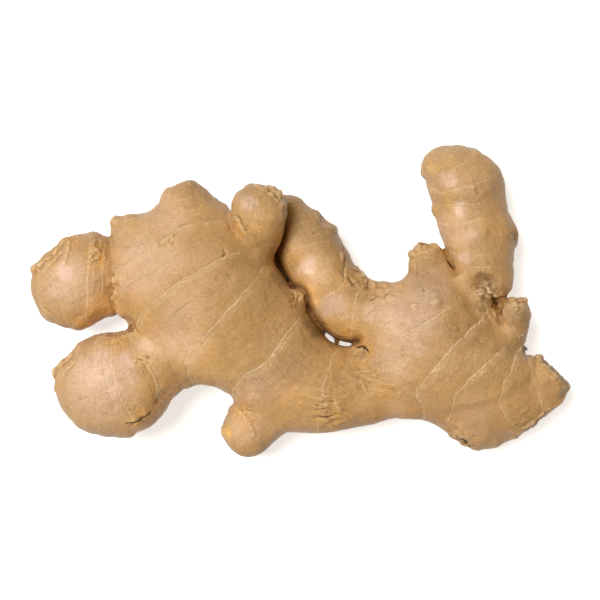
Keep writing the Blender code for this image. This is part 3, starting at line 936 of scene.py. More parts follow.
def break_cutter(name, point, direction, side):
    """A cube with its lower face on the broken face."""
    turn = Vector(direction).to_track_quat("Z", "Y").to_matrix().to_4x4()
    place = Matrix.Translation(Vector(point) * MM) @ turn
    place = place @ Matrix.Translation((0, 0, side * MM / 2)) @ Matrix.Scale(side * MM, 4)
    return block_cutter(name, place)


def table_cutter():
    """Everything under the table's surface."""
    depth, span = TABLE_DEPTH * MM, TABLE_SPAN * MM
    place = Matrix.Translation((0, 0, -depth / 2)) @ Matrix.Diagonal((span, span, depth, 1))
    return block_cutter("table", place)


def add_remesh(thing, voxel):
    """Makes one closed skin of small squares out of everything in the thing."""
    remesh = thing.modifiers.new("one_skin", "REMESH")
    remesh.mode = "VOXEL"
    remesh.voxel_size = voxel


def grown_mesh(rough_voxel, voxel):
    """One closed mesh of small squares round all limbs, cut where the rhizome is cut."""
    thing = bpy.data.objects.new("growing", limbs_mesh())
    bpy.context.scene.collection.objects.link(thing)
    add_remesh(thing, rough_voxel)
    cutters = [break_cutter(name, *face) for name, face in BROKEN_FACES.items()]
    cutters.append(table_cutter())
    for cutter in cutters:
        boolean = thing.modifiers.new(cutter.name, "BOOLEAN")
        boolean.operation = "DIFFERENCE"
        boolean.object = cutter
    add_remesh(thing, voxel)
    bpy.context.view_layer.update()
    graph = bpy.context.evaluated_depsgraph_get()
    mesh = bpy.data.meshes.new_from_object(thing.evaluated_get(graph))
    for used in (thing, *cutters):
        bpy.data.objects.remove(used)
    return mesh


def centred(surface):
    """Moves the surface over the middle of the frame's box and returns the move."""
    middle = (surface.points.min(axis=0) + surface.points.max(axis=0)) / 2
    frame_middle = (np.array(CAD_BOX[0]) + np.array(CAD_BOX[1])) / 2 / MM
    shift = (frame_middle - middle)[:2]
    surface.points[:, :2] += shift
    return shift


def cut_share(points, raw, shift):
    """1 on the broken faces and where the rhizome rests, 0 on grown skin.

    Raw is the distance to the nearest limb, so skin that still lies on its limb counts as grown.
    """
    share = smooth_step(0.5, 0.15, points[:, 2])
    for point, direction, side in BROKEN_FACES.values():
        facing = np.array(direction) / np.linalg.norm(direction)
        offset = points - np.array(point)
        offset[:, :2] -= shift
        away = offset @ facing
        beside = np.linalg.norm(offset - away[:, None] * facing, axis=1)
        share = np.maximum(share, smooth_step(1.2, 0.5, np.abs(away)) * (beside < side * 0.75))
    return share * smooth_step(-0.15, -0.6, raw)


def pulled(field, free, longest):
    """The way from each free point to the joined limbs, at most this long."""
    step = np.clip(field["distance"], -longest, longest) * free
    return step[:, None] * field["direction"]


def fit_to_limbs(surface, growth, shift):
    """Pulls the skin onto the joined limbs, apart from broken and resting faces, and evens it."""
    field = growth.measure(surface.points)
    free = 1 - cut_share(surface.points, field["raw"], shift)
    for _ in range(FIT_ROUNDS):
        surface.points -= pulled(field, free, LONGEST_PULL)
        drift = surface.average(surface.points) - surface.points
        normals = surface.normals()
        drift -= (drift * normals).sum(axis=1, keepdims=True) * normals
        surface.points += drift * 0.5 * free[:, None]
        field = growth.measure(surface.points)
    surface.points -= pulled(field, free, LAST_PULL)
    field["cut"] = 1 - free
    return field


# ---------------------------------------------------------------------------------- marks


def path_distance(points, path):
    """Signed distance of each (x, y) from a path, and the share of the path passed there."""
    start, run = path[:-1], np.diff(path, axis=0)
    offset = points[:, None] - start
    share = np.clip((offset * run).sum(axis=2) / (run**2).sum(axis=1), 0, 1)
    offset -= share[..., None] * run
    away = np.linalg.norm(offset, axis=2)
    best = away.argmin(axis=1)
    row = np.arange(len(points))
    side = run[best, 0] * offset[row, best, 1] - run[best, 1] * offset[row, best, 0]
    passed = (best + share[row, best]) / len(run)
    return np.where(side < 0, -1, 1) * away[row, best], passed


def mark_path(points, shift, step):
    """The smooth line of a mark, moved as the whole skin was."""
    return curve_through(np.array(points, float) + shift, step)


def near_path(points, path, reach):
    """Which points are within reach of the path's box."""
    low, high = path.min(axis=0) - reach, path.max(axis=0) + reach
    return ((points > low) & (points < high)).all(axis=1)


def ring_marks(growth, field, warped, shift):
    """Distance to the nearest ring scar and its strength, for every point."""
    regions = growth.regions[field["limb"]]
    gap, force = np.full(len(warped), 6.0), np.zeros(len(warped))
    for names, first, last, points in RINGS:
        path = mark_path(points, shift, 1.5)
        here = near_path(warped, path, 6) & np.isin(regions, names.split())
        index = np.flatnonzero(here)
        distance, passed = path_distance(warped[index], path)
        ends = smooth_step(0, 0.06, passed) * smooth_step(1, 0.94, passed)
        closer = np.abs(distance) < np.abs(gap[index])
        index = index[closer]
        gap[index] = distance[closer]
        force[index] = ((first + (last - first) * passed) * ends)[closer]
    return gap, force


def crack_marks(warped, up, shift):
    """Distance to the nearest crack's edge, negative inside it, and its depth."""
    gap, depth = np.full(len(warped), 3.0), np.zeros(len(warped))
    for width, deep, points in CRACKS:
        path = mark_path(points, shift, 0.6)
        index = np.flatnonzero(near_path(warped, path, 3) & (up > 0.05))
        distance, passed = path_distance(warped[index], path)
        # Widest in the middle, narrow at both ends.
        edge = np.abs(distance) - width * 0.28 * np.sin(np.pi * (0.12 + 0.76 * passed))
        closer = edge < gap[index]
        gap[index[closer]] = edge[closer]
        depth[index[closer]] = deep
    return gap, depth


def flap_marks(warped, up, tear, shift):
    """Height of the torn edges, signed distance to the nearest one, and how high that one is."""
    height, rise = np.zeros(len(warped)), np.zeros(len(warped))
    gap = np.full(len(warped), 4.0)
    for high, points in FLAPS:
        path = mark_path(points, shift, 0.6)
        index = np.flatnonzero(near_path(warped, path, 4) & (up > -0.2))
        distance, passed = path_distance(warped[index], path)
        distance = distance + 0.5 * tear[index]
        high = high * smooth_step(0, 0.15, passed) * smooth_step(1, 0.85, passed)
        high = high * np.clip(0.8 + 1.1 * tear[index], 0.2, 1.3)
        # A step up at the line that fades out behind it, with a small dip before it.
        raised = smooth_step(-0.2, 0.15, distance) * np.exp(-np.maximum(distance, 0) / FLAP_LENGTH)
        height[index] += high * (raised - 0.2 * np.exp(-(((distance + 0.5) / 0.4) ** 2)))
        closer = np.abs(distance) < np.abs(gap[index])
        gap[index[closer]] = distance[closer]
        rise[index[closer]] = high[closer] / FLAP_HEIGHT
    return height, gap, np.clip(rise, 0, 1)


def blob(points, x, y, radius, shift):
    """A soft round spot: 1 in its middle, 0 at its radius."""
    away = np.linalg.norm(points - (np.array((x, y)) + shift), axis=1)
    return smooth_step(1, 0.25, away / radius)


def wrinkle_relief(surface, warped, top, shift):
    """Height and ochre share of the folds in the wrinkled places."""
    height, ochre = np.zeros(len(warped)), np.zeros(len(warped))
    fine, coarse = Noise(SEED + 11), Noise(SEED + 12)
    for x, y, radius, degrees, spacing, relief, share in WRINKLES:
        place = blob(warped, x, y, radius, shift) * top
        index = np.flatnonzero(place > 0)
        angle = np.radians(degrees)
        points = surface.points[index]
        along = points[:, 0] * np.cos(angle) + points[:, 1] * np.sin(angle)
        across = -points[:, 0] * np.sin(angle) + points[:, 1] * np.cos(angle)
        folded = np.stack([along / 3.4, across, points[:, 2] * 0.8], axis=1)
        bend = coarse.at(points, 4)[:, None] * 0.7
        folds = fine.folds(folded + bend, spacing) - 0.45
        folds += 0.4 * (fine.folds(folded + bend + 40, spacing / 2) - 0.4)
        height[index] += relief * folds * place[index]
        amount = np.clip(folds * 0.9 + 0.6, 0, 1) * share * place[index]
        ochre[index] = np.maximum(ochre[index], amount)
    return height, ochre


def pit_relief(surface, count):
    """Small dents and warts scattered over the skin."""
    chance = np.random.default_rng(SEED + 5)
    chosen = chance.choice(len(surface.points), count, replace=False)
    radii = chance.uniform(0.7, 1.9, count)
    depths = chance.uniform(-0.3, 0.14, count)
    height = np.zeros(len(surface.points))
    for centre, radius, depth in zip(surface.points[chosen], radii, depths):
        near = np.abs(surface.points[:, 0] - centre[0]) < radius
        index = np.flatnonzero(near)
        away = np.linalg.norm(surface.points[index] - centre, axis=1) / radius
        height[index] += depth * smooth_step(1, 0.1, away)
    return height


def stray(points, drift):
    """How far marks stray sideways at each point, so that their lines aren't drawn with a ruler."""
    wide = np.stack([drift.at(points, 5, 2), drift.at(points + 50, 5, 2)], axis=1) * 0.45
    return wide + np.stack([drift.at(points, 1.3), drift.at(points + 50, 1.3)], axis=1) * 0.16


def grown_relief(surface, field, marks, sizes):
    """Height of grown skin over the joined limbs: lumps, rings, folds, grain, pits and cracks."""
    points = surface.points
    lump, grit = Noise(SEED), Noise(SEED + 1)
    lumps = 0.6 * lump.at(points, 21) + 0.75 * lump.at(points + 70, 11)
    height = lumps * (1 - field["cleft"]) - 0.3
    height += 0.12 * lump.at(points, 4.2, 2)
    height *= sizes.lump_height / MM
    gap = marks["ring_gap"]
    ridge = np.exp(-((gap / 0.45) ** 2)) * 0.12 - np.exp(-(((gap - 1) / 0.7) ** 2)) * 0.08
    swell = 0.3 * smooth_step(0.3, 3, np.abs(gap)) - 0.2
    height += marks["ring_force"] * (ridge + 0.5 * swell) * sizes.ring_height / MM
    height += marks["folds"] * sizes.wrinkle_height / MM
    stretched = np.stack([field["along"] / 3, field["around"] / 0.8, field["limb"] * 9.0], axis=1)
    height += 0.055 * grit.single(stretched) * marks["apart"]
    height += 0.07 * grit.at(points, 1.5, 2)
    height += pit_relief(surface, sizes.pit_count)
    height -= marks["crack_depth"] * smooth_step(0.35, -0.15, marks["crack_gap"]) * 0.7
    return height


def broken_relief(points):
    """Height of the coarse fibres on a broken face."""
    grit = Noise(SEED + 1)
    return 0.5 * grit.at(points + 30, 2.6, 3) + 0.25 * grit.folds(points, 1.3)


def tint_shares(warped, top, shift):
    """How strongly each kind of tint lies on each point."""
    shares = {}
    for kind, places in TINTS.items():
        shares[kind] = np.zeros(len(warped))
        for x, y, radius, share in places:
            place = blob(warped, x, y, radius, shift) * share * top
            shares[kind] = np.maximum(shares[kind], place)
    return shares


def shape_skin(surface, growth, shift, sizes):
    """Gives the skin its lumps, rings, cracks and wrinkles, and returns what the material reads."""
    field = fit_to_limbs(surface, growth, shift)
    points, normals = surface.points, surface.normals()
    up = normals[:, 2]
    low = smooth_step(0.2, 3.5, points[:, 2])
    top = smooth_step(-0.25, 0.2, up)
    skin = (1 - field["cut"]) * low
    broken = field["cut"] * (points[:, 2] > 0.6)
    drift = Noise(SEED + 2)
    strayed = stray(points, drift)
    warped = points[:, :2] + strayed

    ring_gap, ring_force = ring_marks(growth, field, warped, shift)
    ring_force = ring_force * np.clip(0.75 + 0.9 * drift.at(points + 90, 6, 2), 0.12, 1)
    crack_gap, crack_depth = crack_marks(warped, up, shift)
    folds, fold_ochre = wrinkle_relief(surface, points[:, :2] + strayed * 2, top, shift)
    tear = drift.at(points + 20, 1.7, 2)
    flaps, flap_gap, flap_rise = flap_marks(warped, up, tear, shift)
    lit = np.isin(growth.regions[field["limb"]], LIT_REGIONS)
    marks = {
        "ring_gap": ring_gap,
        "ring_force": ring_force,
        "flap_gap": flap_gap,
        "flap_rise": flap_rise,
        "crack_gap": crack_gap,
        "crack_depth": crack_depth,
        # Painted shade of the creases, weaker on regions that overlook them.
        "crease": field["crease"] * np.where(lit, LIT_SHARE, 1) * skin,
        "broken": broken,
        "folds": folds + flaps,
        "along": field["along"],
        "around": field["around"],
        "limb": field["limb"].astype(float),
        "apart": smooth_step(0.5, 2.5, field["apart"]),
    }

    height = grown_relief(surface, field, marks, sizes) * skin
    for x, y, radius, depth in BUMPS:
        height += depth * blob(warped, x, y, radius, shift) * low
    height += broken * broken_relief(points)
    points += height[:, None] * normals
    points[:, 2] = np.maximum(points[:, 2], 0)

    tints = tint_shares(points[:, :2] + strayed * 2.5, top, shift)
    tints["ochre"] = np.maximum(tints["ochre"], fold_ochre)
    normals = surface.normals()
    fine = surface.softened(points, 3) - points
    wide = surface.softened(points, 30) - points
    marks |= {
        "ring_force": ring_force * skin,
        "folds": fold_ochre,
        # Sides that face the upper left, where the skin is painted greyer as painted shade.
        "rim": smooth_step(0.3, 0.95, normals[:, :2] @ np.array((-0.6, 0.8))) * skin,
        "hollow_fine": (fine * normals).sum(axis=1),
        "hollow_wide": (wide * normals).sum(axis=1),
    }
    return marks | tints


# ---------------------------------------------------------------------------------- rags


def uphill(surface, values):
    """The direction over the skin in which the values grow."""
    one, other = surface.edges.T
    run = surface.points[other] - surface.points[one]
    rise = (values[other] - values[one]) / np.maximum((run**2).sum(axis=1), 1e-4)
    slope = np.zeros_like(surface.points)
    np.add.at(slope, one, run * rise[:, None])
    np.add.at(slope, other, run * rise[:, None])
    return slope


def ring_rag_roots(surface, normals, gap, force, count, chance):
    """Places on the ring scars: (point, normal, direction across the ring, highest tone)."""
    fit = (np.abs(gap) < 0.25) & (normals[:, 2] > -0.3)
    torn = smooth_step(0.05, 0.5, Noise(SEED + 41).at(surface.points, 6, 2))
    weight = np.where(fit, np.clip(force, 0, 1) ** 1.5 * (0.06 + torn), 0)
    chosen = chance.choice(len(weight), count, replace=False, p=weight / weight.sum())
    slope = uphill(surface, gap)
    return [(surface.points[i], normals[i], -slope[i], 0.25) for i in chosen]


def line_rag_roots(surface, normals, chance):
    """Places along the lines of rags: (point, normal, direction outwards, highest tone)."""
    open_side = np.flatnonzero(normals[:, 2] > -0.1)
    flat = surface.points[open_side, :2]
    roots = []
    for count, points in RAG_LINES:
        path = curve_through(np.array(points, float), 0.5)
        places = path[chance.integers(0, len(path), count)]
        for place in places + chance.normal(0, 0.3, (count, 2)):
            i = open_side[((flat - place) ** 2).sum(axis=1).argmin()]
            outward = np.append(place - surface.points[i, :2], 0) + normals[i] * (1, 1, 0)
            outward += chance.normal(0, 0.4, 3)
            roots.append((surface.points[i], normals[i], outward, 0.8))
    return roots


def rag(point, normal, direction, length, width, lift, chance):
    """Points of a curled, torn flake, round each of its stations from root to tip."""
    direction = direction - (direction @ normal) * normal
    direction = direction / max(np.linalg.norm(direction), 1e-6)
    side = np.cross(normal, direction)
    place = point - normal * ROOT_DEPTH - direction * ROOT_SETBACK
    rows = []
    runs = len(RAG_WIDTHS) - 1
    for station, share in enumerate(RAG_WIDTHS):
        angle = 0.15 + lift * station / runs
        ahead = direction * np.cos(angle) + normal * np.sin(angle)
        above = normal * np.cos(angle) - direction * np.sin(angle)
        half = side * width / 2 * share * chance.uniform(0.7, 1.15)
        wave = above * chance.normal(0, 0.05)
        middle = place + side * chance.normal(0, 0.07)
        over, under = middle + above * HALF_THICKNESS, middle - above * HALF_THICKNESS
        rows += [middle - half + wave, over, middle + half - wave, under]
        place = place + ahead * length / runs
    return rows


def rag_faces(first):
    """Faces round a rag whose first point has this number, and those that close its ends."""
    last = first + RAG_SIDES * (len(RAG_WIDTHS) - 1)
    faces = [tuple(reversed(range(first, first + RAG_SIDES)))]
    for row in range(first, last, RAG_SIDES):
        for k in range(RAG_SIDES):
            after = (k + 1) % RAG_SIDES
            faces.append((row + k, row + after, row + RAG_SIDES + after, row + RAG_SIDES + k))
    return [*faces, tuple(range(last, last + RAG_SIDES))]


# ---------------------------------------------------------------------------------- materials


class Term:
    """A socket of a node tree that can stand in sums and products."""

    def __init__(self, recipe, socket):
        self.recipe, self.socket = recipe, socket

    def __add__(self, other):
        return self.recipe.math("ADD", self, other)

    __radd__ = __add__

    def __mul__(self, other):
        return self.recipe.math("MULTIPLY", self, other)

    __rmul__ = __mul__

    def __sub__(self, other):
        return self.recipe.math("SUBTRACT", self, other)

    def __rsub__(self, other):
        return self.recipe.math("SUBTRACT", other, self)

    def __abs__(self):
        return self.recipe.math("ABSOLUTE", self)


class Recipe:
    """The node tree of one material or world, written as expressions."""

    def __init__(self, owner):
        owner.use_nodes = True
        self.owner, self.tree = owner, owner.node_tree
        self.tree.nodes.clear()

    def node(self, kind, settings, inputs, output=0):
        """Adds one node: its settings first, then the values or links of its sockets."""
        node = self.tree.nodes.new(kind)
        for name, value in settings.items():
            setattr(node, name, value)
        for name, value in inputs.items():
            if isinstance(value, Term):
                self.tree.links.new(value.socket, node.inputs[name])
            else:
                node.inputs[name].default_value = value
        return Term(self, node.outputs[output]) if node.outputs else None

    def math(self, operation, *values):
        """One Math node, which is what an expression on terms adds."""
        inputs = dict(enumerate(values))
        return self.node("ShaderNodeMath", {"operation": operation}, inputs)

    def step(self, value, low, high):
        """0 below low and 1 above high, with a soft change between."""
        inputs = {"Value": value, "From Min": low, "From Max": high}
        settings = {"interpolation_type": "SMOOTHSTEP"}
        return self.node("ShaderNodeMapRange", settings, inputs)

    def mix(self, share, low, high, blend="MIX"):
        """Between two colours."""
        settings = {"data_type": "RGBA", "blend_type": blend}
        return self.node("ShaderNodeMix", settings, {0: share, 6: low, 7: high}, output=2)

    def attribute(self, name):
        """A value stored at each point of the mesh."""
        return self.node("ShaderNodeAttribute", {"attribute_name": name}, {}, output=2)

    def noise(self, place, scale, detail=2.0, roughness=0.5, distortion=0.0):
        """Cloudy noise, about 0 to 1."""
        inputs = {
            "Vector": place,
            "Scale": scale,
            "Detail": detail,
            "Roughness": roughness,
            "Distortion": distortion,
        }
        return self.node("ShaderNodeTexNoise", {}, inputs)

    def speckle(self, place, scale):
        """Distance to the nearest of many scattered points."""
        inputs = {"Vector": place, "Scale": scale}
        return self.node("ShaderNodeTexVoronoi", {"feature": "F1"}, inputs)

    def place_in_mm(self):
        """The point's own place, in millimetres."""
        object_place = self.node("ShaderNodeTexCoord", {}, {}, output=3)
        settings = {"operation": "SCALE"}
        return self.node("ShaderNodeVectorMath", settings, {0: object_place, "Scale": 1 / MM})

    def vector(self, x, y, z):
        """One vector or grey out of three values."""
        return self.node("ShaderNodeCombineXYZ", {}, {0: x, 1: y, 2: z})

    def bump(self, height_in_mm):
        """Fine relief that only bends the light."""
        return self.node("ShaderNodeBump", {}, {"Distance": MM, "Height": height_in_mm})

    def finish(self, inputs):
        """The finished material, with these values and links in its shader."""
        shader = self.node("ShaderNodeBsdfPrincipled", {}, inputs)
        self.node("ShaderNodeOutputMaterial", {}, {"Surface": shader})
        return self.owner


def rgba(colour):
    """The colour as sockets take it."""
    return (*colour, 1.0)


class SkinRecipe(Recipe):
    """The skin's patterns, and the colour on which its marks are painted one after another."""

    def __init__(self, tones):
        super().__init__(bpy.data.materials.new("ginger_skin"))
        self.tones = tones
        self.place = self.place_in_mm()
        self.along, self.around, self.limb, self.apart = (
            self.attribute(name) for name in ("along", "around", "limb", "apart")
        )
        self.cloud = self.noise(self.place, 0.075, 3.0, 0.55, 0.6)
        self.blotch = self.noise(self.place, 0.24, 4.0, 0.6, 0.8)
        self.mottle = self.noise(self.place, 0.9, 4.0, 0.65)
        self.grit = self.noise(self.place, 3.4, 3.0, 0.6)
        clouds = self.step(self.cloud, 0.32, 0.62)
        self.colour = self.mix(clouds, rgba(tones.deep), rgba(tones.base))

    def paint(self, share, tone):
        """Covers this share of the colour with the tone of this name."""
        self.colour = self.mix(share, self.colour, rgba(getattr(self.tones, tone)))

    def striped(self, lengthways, sideways, limb, detail, roughness, distortion=0.0):
        """Noise with this many features to a millimetre along a limb and around it."""
        place = self.vector(self.along * lengthways, self.around * sideways, limb)
        return self.noise(place, 1.0, detail, roughness, distortion)

    def band(self, distance, full, none):
        """1 within the first distance to either side of a line, 0 beyond the second."""
        return 1.0 - self.step(abs(distance), full, none)

    def paint_ground(self):
        """Blotches and the tints of single places, with painted shade and highlights among them.
        Returns the shade and the ochre.
        """
        self.paint(self.step(self.blotch, 0.5, 0.78) * 0.28, "warm")
        olive = self.striped(0.12, 0.2, self.limb + 5, 3.0, 0.6, 1.0)
        self.paint(self.step(olive, 0.52, 0.75) * 0.22 * self.apart, "olive")
        # Painted shade: the shade tints darken the skin towards the deep tone.
        shade = self.attribute("shade") * (0.7 + self.mottle * 0.2)
        self.paint(shade * 0.5, "deep")
        # Pale skin, and painted highlights where these tints sit on glints of the lobes and fingers.
        self.paint(self.attribute("pink_and_highlight") * self.step(self.blotch, 0.08, 0.55) * 0.85, "pink_and_highlight")
        ochre = self.attribute("ochre") * self.step(self.mottle, 0.25, 0.55)
        self.paint(ochre * 0.9, "ochre")
        # Painted shade: sides that face the upper left are painted greyer.
        self.paint(self.attribute("rim") * 0.5, "rim_shade")
        self.paint(self.attribute("flesh") * self.step(self.mottle, 0.25, 0.5) * 0.9, "flesh")
        self.paint(self.attribute("bark") * self.step(self.mottle, 0.36, 0.6) * 0.8, "bark")
        fibres = self.step(self.mottle, 0.35, 0.65)
        broken_tone = self.mix(fibres, rgba(self.tones.speck), rgba(self.tones.base))
        self.colour = self.mix(self.attribute("broken") * 0.55, self.colour, broken_tone)
        return shade, ochre

    def paint_light(self, grain, shade):
        """Lighter and darker stripes along the limbs, spots, and tints of painted light and shade.
        """
        coarse_grain = self.striped(0.1, 0.45, self.limb * 3.1, 2.0, 0.5)
        stripes = (grain - 0.5) * 0.32 * self.apart + (coarse_grain - 0.5) * 0.14 * self.apart
        spots = (self.mottle - 0.5) * 0.24 + (self.grit - 0.5) * 1.15 + (self.blotch - 0.5) * 0.06
        # Painted shade and painted light: the shade tints darken the skin and the lift tints lighten
        # it.
        light = 1.0 + stripes + spots - shade * 0.26 + self.attribute("lift") * 0.2
        self.colour = self.mix(1.0, self.colour, self.vector(light, light, light), "MULTIPLY")

    def paint_cross_marks(self):
        """Faint brown marks around the limbs."""
        cross = self.striped(1.6, 0.2, self.limb * 4.1, 3.0, 0.6, 0.3)
        cross = self.step(cross, 0.54, 0.72) * self.step(self.blotch, 0.42, 0.62) * self.apart
        self.paint(cross * 0.06, "bark")
        return cross

    def paint_rings(self):
        """Pale ring lines with a brown edge that is painted shadow. Returns the line and the leaf's
        overlap behind it.
        """
        gap, force = self.attribute("ring_gap"), self.attribute("ring_force")
        ragged = gap + (self.grit - 0.5) + (self.mottle - 0.5)
        line = self.band(ragged, 0.08, 0.48) * force * self.step(self.mottle, 0.34, 0.46)
        # Painted shadow: a brown edge beside each ring line.
        self.paint(self.band(ragged - 0.5, 0.05, 0.45) * force * 0.4, "bark")
        self.paint(self.band(ragged + 0.8, 0.1, 1.2) * force * 0.25, "ring")
        self.paint(line * (0.45 + self.blotch * 0.8), "ring")
        overlap = (1.0 - self.step(ragged, -0.08, 0.12)) * self.step(gap, -4.0, -0.8) * force
        return line, overlap

    def paint_hollows(self):
        """Painted shade and dirt in hollows and creases, and a worn, painted highlight on high
        places. Returns the crease.
        """
        hollow = self.attribute("hollow_fine")
        # Painted shade and dirt in small hollows.
        self.paint(self.step(hollow, 0.02, 0.16) * 0.6, "crease")
        # Painted shade in wide hollows.
        self.paint(self.step(self.attribute("hollow_wide"), 0.1, 0.8) * 0.6, "hollow")
        # High places painted paler: partly wear, partly painted highlight.
        self.paint(self.step(hollow * -1.0, 0.012, 0.09) * 0.3, "ring")
        crease = self.attribute("crease")
        # Painted shade beside and in the creases.
        self.paint(self.step(crease, 0.0, 0.6) * 0.8, "hollow")
        self.paint(self.step(crease, 0.5, 1.0) * 0.85, "crease")
        return crease

    def paint_flaps(self):
        """A pale lip and a brown line under it as painted shadow, along each torn edge."""
        rise = self.attribute("flap_rise")
        torn = self.attribute("flap_gap") + (self.grit - 0.5) * 0.4
        # Painted shadow: a brown line under the raised edge.
        self.paint(self.band(torn + 0.4, 0.1, 0.45) * rise * 0.55, "bark")
        self.paint(self.band(torn - 0.2, 0.1, 0.45) * rise * 0.6, "ring")

    def paint_specks(self):
        """Dark specks and smaller freckles. Returns the specks."""
        specks = 1.0 - self.step(self.speckle(self.place, 0.62), 0.05, 0.16)
        specks = specks * self.step(self.blotch, 0.45, 0.6)
        self.paint(specks * 0.65, "speck")
        freckles = 1.0 - self.step(self.speckle(self.place, 1.7), 0.1, 0.2)
        self.paint(freckles * self.step(self.cloud, 0.45, 0.6) * 0.35, "bark")
        return specks

    def paint_cracks(self):
        """Painted shade inside cracks, which is returned."""
        gap = self.attribute("crack_gap") + (self.grit - 0.5) * 0.35
        deep = self.step(self.attribute("crack_depth"), 0.1, 1.1)
        crack = (1.0 - self.step(gap, -0.12, 0.12)) * deep
        # Painted shade inside the cracks.
        self.paint(crack * 0.9, "crack")
        return crack


def skin_material(tones):
    """Tan skin: mottled, finely striped along each limb, pale at the rings, with painted shade in
    cracks, creases and hollows and painted light and highlights in places.
    """
    skin = SkinRecipe(tones)
    grain = skin.striped(0.22, 1.5, skin.limb * 7.3, 3.0, 0.6, 0.4)
    shade, ochre = skin.paint_ground()
    skin.paint_light(grain, shade)
    cross = skin.paint_cross_marks()
    line, overlap = skin.paint_rings()
    crease = skin.paint_hollows()
    skin.paint_flaps()
    specks = skin.paint_specks()
    crack = skin.paint_cracks()

    folds = skin.attribute("folds")
    roughness = 0.36 + skin.mottle * 0.16 + ochre * 0.12 + crack * 0.3 + crease * 0.2 + folds * 0.1
    height = grain * 0.08 * skin.apart + skin.mottle * 0.2 + skin.grit * 0.18 + line * 0.12
    height = height + overlap * 0.2 - crack * 0.5 - specks * 0.08 - cross * 0.03
    crinkle = abs(skin.noise(skin.place, 1.1, 2.0, 0.5, 0.6) - 0.5) * folds
    return skin.finish({
        "Base Color": skin.colour,
        "Roughness": roughness,
        "Normal": skin.bump(height - crinkle * 0.5),
        "Specular IOR Level": tones.gloss,
    })


def rag_material(tones):
    """Dry scale remains: pale straw to orange brown, darker at the root."""
    paper = Recipe(bpy.data.materials.new("ginger_rags"))
    tone, tip = paper.attribute("tone"), paper.attribute("tip")
    fibres = paper.noise(paper.place_in_mm(), 2.2, 3.0, 0.6)
    colour = paper.mix(paper.step(tone, 0.2, 0.8), rgba(tones.ring), rgba(tones.ochre))
    colour = paper.mix(0.75 - tip * 0.4, colour, rgba(tones.base))
    colour = paper.mix(paper.step(fibres, 0.5, 0.8) * 0.4, colour, rgba(tones.speck))
    return paper.finish({
        "Base Color": colour,
        "Roughness": 0.55 + fibres * 0.2,
        "Normal": paper.bump(fibres * 0.06),
        "Specular IOR Level": 0.3,
    })


# ---------------------------------------------------------------------------------- settings


def colour_property(name, description, default):
    """A colour that the user can change."""
    return FloatVectorProperty(
        name=name, description=description, default=default, subtype="COLOR", min=0, max=1
    )


def length_property(name, description, default):
    """A length that the user can change, in metres."""
    return FloatProperty(
        name=name, description=description, default=default, subtype="DISTANCE", unit="LENGTH"
    )


def number_property(name, description, default):
    """A plain number that the user can change."""
    return FloatProperty(name=name, description=description, default=default, min=0)


def count_property(name, description, default):
    """A whole number that the user can change."""
    return IntProperty(name=name, description=description, default=default, min=1)


class GingerSizes(bpy.types.PropertyGroup):
    """How fine the skin is and how high its marks stand"""

    voxel: length_property("Voxel", "Side of the squares that the skin is made of", 0.52 * MM)
    rough_voxel: length_property("Rough voxel", "The same while the solid is cut", 0.6 * MM)
    triangles: count_property("Triangles", "About how many the skin keeps", 192000)
    lump_height: length_property("Lumps", "Height of the soft lumps", 1 * MM)
    ring_height: length_property("Rings", "Height of the ring scars", 1 * MM)
    wrinkle_height: length_property("Wrinkles", "Height of the folds where skin shrank", 1 * MM)
    pit_count: count_property("Pits", "Number of small dents and warts", 420)
    rag_count: count_property("Rags", "Number of papery rags on the rings", 260)
    rag_length: length_property("Rag length", "Mean length of a papery rag", 0.8 * MM)


class GingerTones(bpy.types.PropertyGroup):
    """Colours of the skin and its marks"""

    base: colour_property("Base", "Most of the skin", (0.573, 0.341, 0.137))
    # This tone also darkens the skin as the painted shade of the shade tints.
    deep: colour_property("Deep", "Darker clouds in the skin", (0.525, 0.298, 0.112))
    warm: colour_property("Warm", "Warmer blotches", (0.70, 0.405, 0.15))
    # This tone is pale skin and also the painted highlights on the lobes and fingers.
    pink_and_highlight: colour_property("Pink", "Thin pale skin", (0.84, 0.585, 0.455))
    olive: colour_property("Olive", "Greyer skin", (0.53, 0.322, 0.118))
    # This tone is painted shade, greying the sides that face the upper left.
    rim_shade: colour_property("Dust", "Greyer skin at the rim", (0.5, 0.325, 0.17))
    ochre: colour_property("Ochre", "Scale remains and folds", (0.67, 0.325, 0.062))
    ring: colour_property("Ring", "Dry pale edges", (0.88, 0.64, 0.37))
    flesh: colour_property("Flesh", "Yellow flesh showing through", (0.80, 0.48, 0.12))
    bark: colour_property("Bark", "Corky brown spots", (0.19, 0.088, 0.032))
    hollow: colour_property("Hollow", "Shaded skin beside a crease", (0.37, 0.17, 0.038))
    # This tone is painted shade as well as dirt, in hollows and creases.
    crease: colour_property("Crease", "Dirt in hollows", (0.12, 0.048, 0.012))
    # This tone is the painted shade inside cracks.
    crack: colour_property("Crack", "Inside of cracks", (0.075, 0.03, 0.009))
    speck: colour_property("Speck", "Small spots", (0.27, 0.12, 0.04))
    gloss: number_property("Gloss", "Share of light mirrored", 0.5)


class GingerStage(bpy.types.PropertyGroup):
    """Floor, lights and camera"""

    floor_colour: colour_property("Floor", "The table's colour", (0.86, 0.86, 0.86))
    floor_span: length_property("Floor span", "Side of the square floor", 8.0)
    key_strength: number_property("Key", "Strength of the main light", 3.1)
    key_softness: FloatProperty(
        name="Key softness", description="Angle that the main light fills", default=0.55,
        subtype="ANGLE",
    )
    sky_colour: colour_property("Sky colour", "Colour of the light from all round", (1, 0.775, 0.45))
    floor_glow: number_property("Floor glow", "Lightens shadows on it", 0.65)
    sky_strength: number_property("Sky", "Strength of the light from all round", 0.25)
    camera_height: length_property("Camera height", "Above the surface in focus", 0.4833)
    camera_nudge: length_property("Camera nudge", "Camera's way off the middle", 0.15 * MM)
    lens: FloatProperty(name="Lens", description="Focal length", default=100.0, unit="CAMERA")


